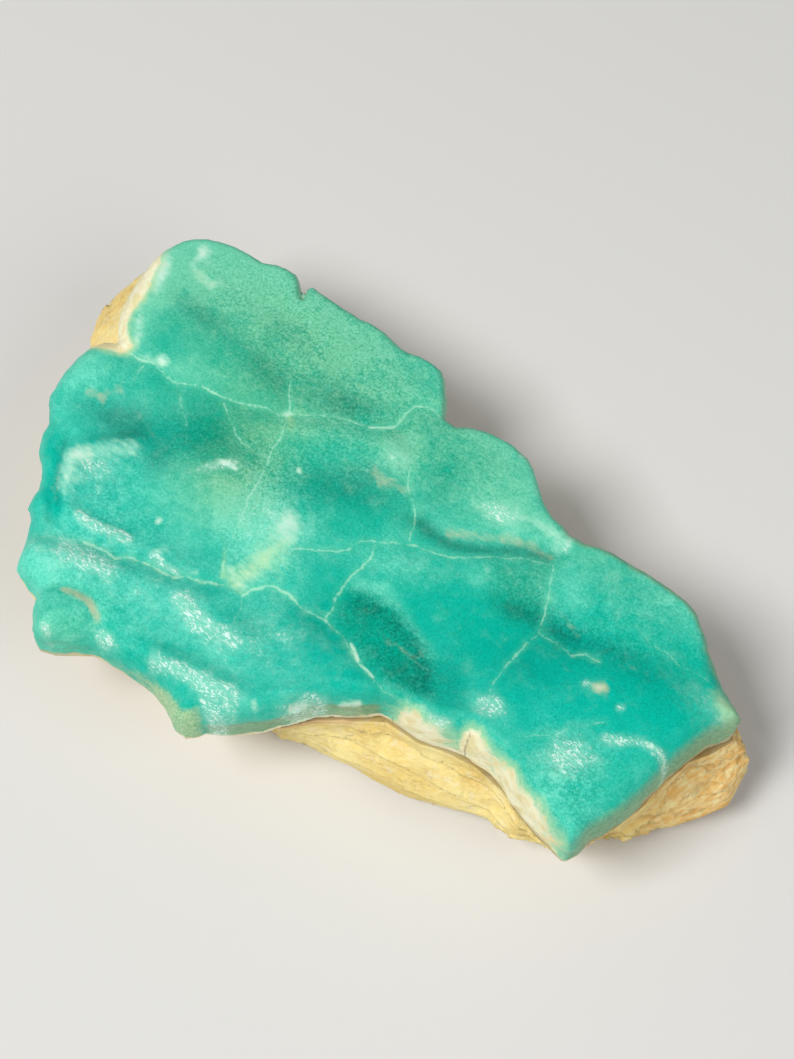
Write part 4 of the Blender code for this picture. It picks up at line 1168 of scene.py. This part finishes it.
def wallPush(x, y):
    push = np.zeros((len(x), 2))
    for (wallX, wallY, half, base), outward in zip(matrixWall, wallOutward()):
        spread = 2.0 * matrix["wallBlend"] ** 2
        near = np.exp(-((x - wallX) ** 2 + (y - wallY) ** 2) / spread) + 1.0e-9
        push -= near[:, None] * np.array(outward)
    push /= np.linalg.norm(push, axis=1)[:, None]
    fade = bend(1.0 - lineDistance(matrixRim, x, y) / matrix["wallReach"])
    return push * fade[:, None]


rockColours = {
    "light": colour(255, 236, 162),
    "gold": colour(244, 214, 130),
    "sand": colour(255, 244, 204),
    "pink": colour(226, 190, 158),
    "brown": colour(164, 124, 70),
    "sideBrownAndShade": colour(246, 208, 138),
    "dark": colour(112, 86, 52),
    "blush": colour(206, 160, 122),
}


def makeLimestone():
    material, tree, shader, place = startMaterial("tan limestone")
    clouds = noiseAt(tree, place, 8.0, 4.0, 0.6)
    mottle = noiseAt(tree, place, 2.0, 5.0, 0.65)
    specks = noiseAt(tree, place, 0.7, 5.0, 0.7)
    fine = noiseAt(tree, place, 0.3, 3.0, 0.65)
    flat = addNode(tree, "Mapping", {}, {"Vector": place, "Scale": (0.22, 0.22, 1.0)})
    layers = noiseAt(tree, flat.outputs[0], 1.6, 5.0, 0.6, 0.5)
    hollow = painted(tree, "hollow")
    body = mix(tree, stretch(tree, clouds, 0.36, 0.64), rockColours["light"], rockColours["gold"])
    body = mix(tree, stretch(tree, mottle, 0.5, 0.7, 0.0, 0.6), body, rockColours["sand"])
    body = mix(tree, stretch(tree, specks, 0.56, 0.76, 0.0, 0.4), body, rockColours["pink"])

    # thin brown lines along the layers, brown in the hollows, and a browner right face, partly painted
    # shade as that face turns away from the light
    off = calculate(tree, "ABSOLUTE", minus(tree, layers, 0.5))
    lines = stretch(tree, off, 0.004, 0.028, 1.0, 0.0)
    lines = times(tree, lines, stretch(tree, clouds, 0.4, 0.6, 0.0, 0.32))
    body = mix(tree, lines, body, rockColours["brown"])
    side = painted(tree, "brownAndShadedSide")
    body = mix(tree, times(tree, side, 0.85), body, rockColours["sideBrownAndShade"])
    # painted light and shade: streaky lighter and darker patches stand for lit and shaded chip faces,
    # mostly on the right face, along with the grain of the stone
    facetLightAndShade = stretch(tree, grainAlong(tree, place, 0.9, 38.0, 3.0, 4.0, 0.6), 0.3, 0.7)
    body = mix(tree, timesPlus(tree, side, 0.6, 0.15), body, facetLightAndShade, "SOFT_LIGHT")
    flaky = timesPlus(tree, specks, 0.5, times(tree, layers, 0.5))
    stain = times(tree, side, stretch(tree, flaky, 0.44, 0.68, 0.0, 0.16))
    body = mix(tree, stain, body, rockColours["brown"])
    warm = brokenUp(tree, painted(tree, "warm"), flaky, 1.6, 0.3, 1.1)
    body = mix(tree, times(tree, warm, 0.6), body, rockColours["blush"])
    inHollow = times(tree, brokenUp(tree, hollow, specks, 1.2, 0.2, 1.4), 0.5)
    body = mix(tree, inHollow, body, rockColours["brown"])
    spots = stretch(tree, mottle, 0.62, 0.8, 0.0, 0.35)
    body = mix(tree, spots, body, rockColours["dark"])
    body = mix(tree, stretch(tree, painted(tree, "seam"), 0.2, 1.0, 0.0, 0.6), body,
               rockColours["dark"])
    height = timesPlus(tree, fine, 0.3, times(tree, specks, 0.8))
    height = timesPlus(tree, layers, 0.8, height)
    rough = stretch(tree, fine, 0.2, 0.8, 0.7, 0.92)
    finishMaterial(tree, shader, body, rough, height, 0.7, matrix["bumpDepth"])
    shader.inputs["Specular IOR Level"].default_value = 0.3
    return material


def matrixMesh():
    # evenly fine facets, and fewer of them where the crust hides the top
    mesh = remeshed(matrixBlank(), matrix["facet"])
    x, y, z = readPoints(mesh).T
    underCrust = insideBy(crustRim, x, y) > 1.0
    inner = lineDistance(matrixRim, x, y) > 1.2
    hidden = (z / crust["seamHeight"] > 0.99) & inner & underCrust
    return thinned(mesh, hidden, matrix["hiddenKeep"])


def shapeMatrix(mesh):
    # gives back what the paint needs: the fine depth, the top's height and the upper left's share
    points = readPoints(mesh)
    x, y = points[:, 0], points[:, 1]
    heightShare = points[:, 2] / crust["seamHeight"]
    coarse = np.array([brokenDepth(place) for place in points])
    small = np.array([fineDepth(place) for place in points])
    nearFace = bend((26.0 - x) / 8.0) * bend((-10.0 - y) / 8.0)
    rightFace = bend((x - 26.0) / 6.0) * bend((-20.0 - y) / 8.0)
    small *= 1.0 - matrix["nearCalm"] * nearFace + matrix["rightRough"] * rightFace
    below = 1.0 - bend((heightShare - matrix["seamEdge"]) / (1.0 - matrix["seamEdge"]))
    nearSeam = 0.25 + 0.75 * below
    depth = coarse * below + (small - 0.35) * nearSeam
    points[:, :2] += wallPush(x, y) * depth[:, None]
    share = np.clip(heightShare, 0.0, 1.0)
    bottom, pastSpot = underside(x, y)
    bottom += matrix["undersideRough"] * pastSpot * (0.5 + grain(points * (1.0, 1.0, 0.0), 3.0))
    upperLeft = bend((-33.0 - x) / 4.0) * bend((y - 28.0) / 4.0)
    outside = upperLeft * np.maximum(-insideBy(crustRim, x, y), 0.0)
    top = seamSurface(x, y) - matrix["seamGap"] - matrix["shelfDrop"] * outside
    top -= matrix["shelfRelief"] * (small - 0.2) * bend(outside / 1.5)
    points[:, 2] = bottom + share * (top - bottom)
    points = fitInside(points, matrix["node"])
    points[points[:, 2] < matrix["spotFlatness"], 2] = 0.0
    writePoints(mesh, points)
    return small, top, upperLeft


def paintMatrix(mesh, small, top, upperLeft):
    x, y, z = readPoints(mesh).T
    paint(mesh, "hollow", bend((small - 0.5) / 0.5))
    # the right face browner, partly as painted shade; the upper left gets a little of the same
    right = bend((x - 30.0) / 16.0) * bend((y + 46.0) / 8.0)
    paint(mesh, "brownAndShadedSide", np.maximum(right, 0.3 * upperLeft))
    onWall = lineDistance(matrixRim, x, y) < 3.0
    paint(mesh, "seam", onWall * bend((z - top + 0.45) / 0.4) * (y < 25.0))
    leftEnd = bend((2.0 - x) / 8.0) * (y < -10.0)
    paint(mesh, "warm", onWall * leftEnd * bend((z - top + 2.4) / 2.0))


def makeMatrix():
    print("limestone")
    mesh = matrixMesh()
    paintMatrix(mesh, *shapeMatrix(mesh))
    showPiece("limestone", mesh, makeLimestone(), matrix["node"])


makeCrust()
makeMatrix()


# Floor and soft studio light
studio = {
    "floorSize": 6.0,
    "floorColour": colour(226, 224, 220),
    "worldColour": colour(228, 234, 240),
    "worldStrength": 0.2,
    "key": {"place": (-0.5, -0.22, 0.9), "size": 0.4, "watts": 8.4},
    "fill": {"place": (0.5, -0.4, 0.5), "size": 0.6, "watts": 2.2},
}

print("studio")


def makeFloor():
    mesh = bpy.data.meshes.new("floor")
    shell = bmesh.new()
    bmesh.ops.create_grid(shell, x_segments=1, y_segments=1, size=studio["floorSize"] / 2.0)
    shell.to_mesh(mesh)
    shell.free()
    material, tree, shader, place = startMaterial("pale paper")
    shader.inputs["Base Color"].default_value = studio["floorColour"]
    shader.inputs["Roughness"].default_value = 0.9
    mesh.materials.append(material)
    addObject("floor", mesh)


def addLight(name, settings):
    data = bpy.data.lights.new(name, "AREA")
    data.energy = settings["watts"]
    data.size = settings["size"]
    light = addObject(name, data)
    light.location = settings["place"]
    towards = Vector(view["target"]) * mm - light.location
    light.rotation_euler = towards.to_track_quat("-Z", "Y").to_euler()


makeFloor()
addLight("key", studio["key"])
addLight("fill", studio["fill"])
world = bpy.data.worlds.new("studio")
world.use_nodes = True
background = world.node_tree.nodes["Background"]
background.inputs["Color"].default_value = studio["worldColour"]
background.inputs["Strength"].default_value = studio["worldStrength"]
bpy.context.scene.world = world
bpy.context.scene.view_settings.view_transform = "Standard"
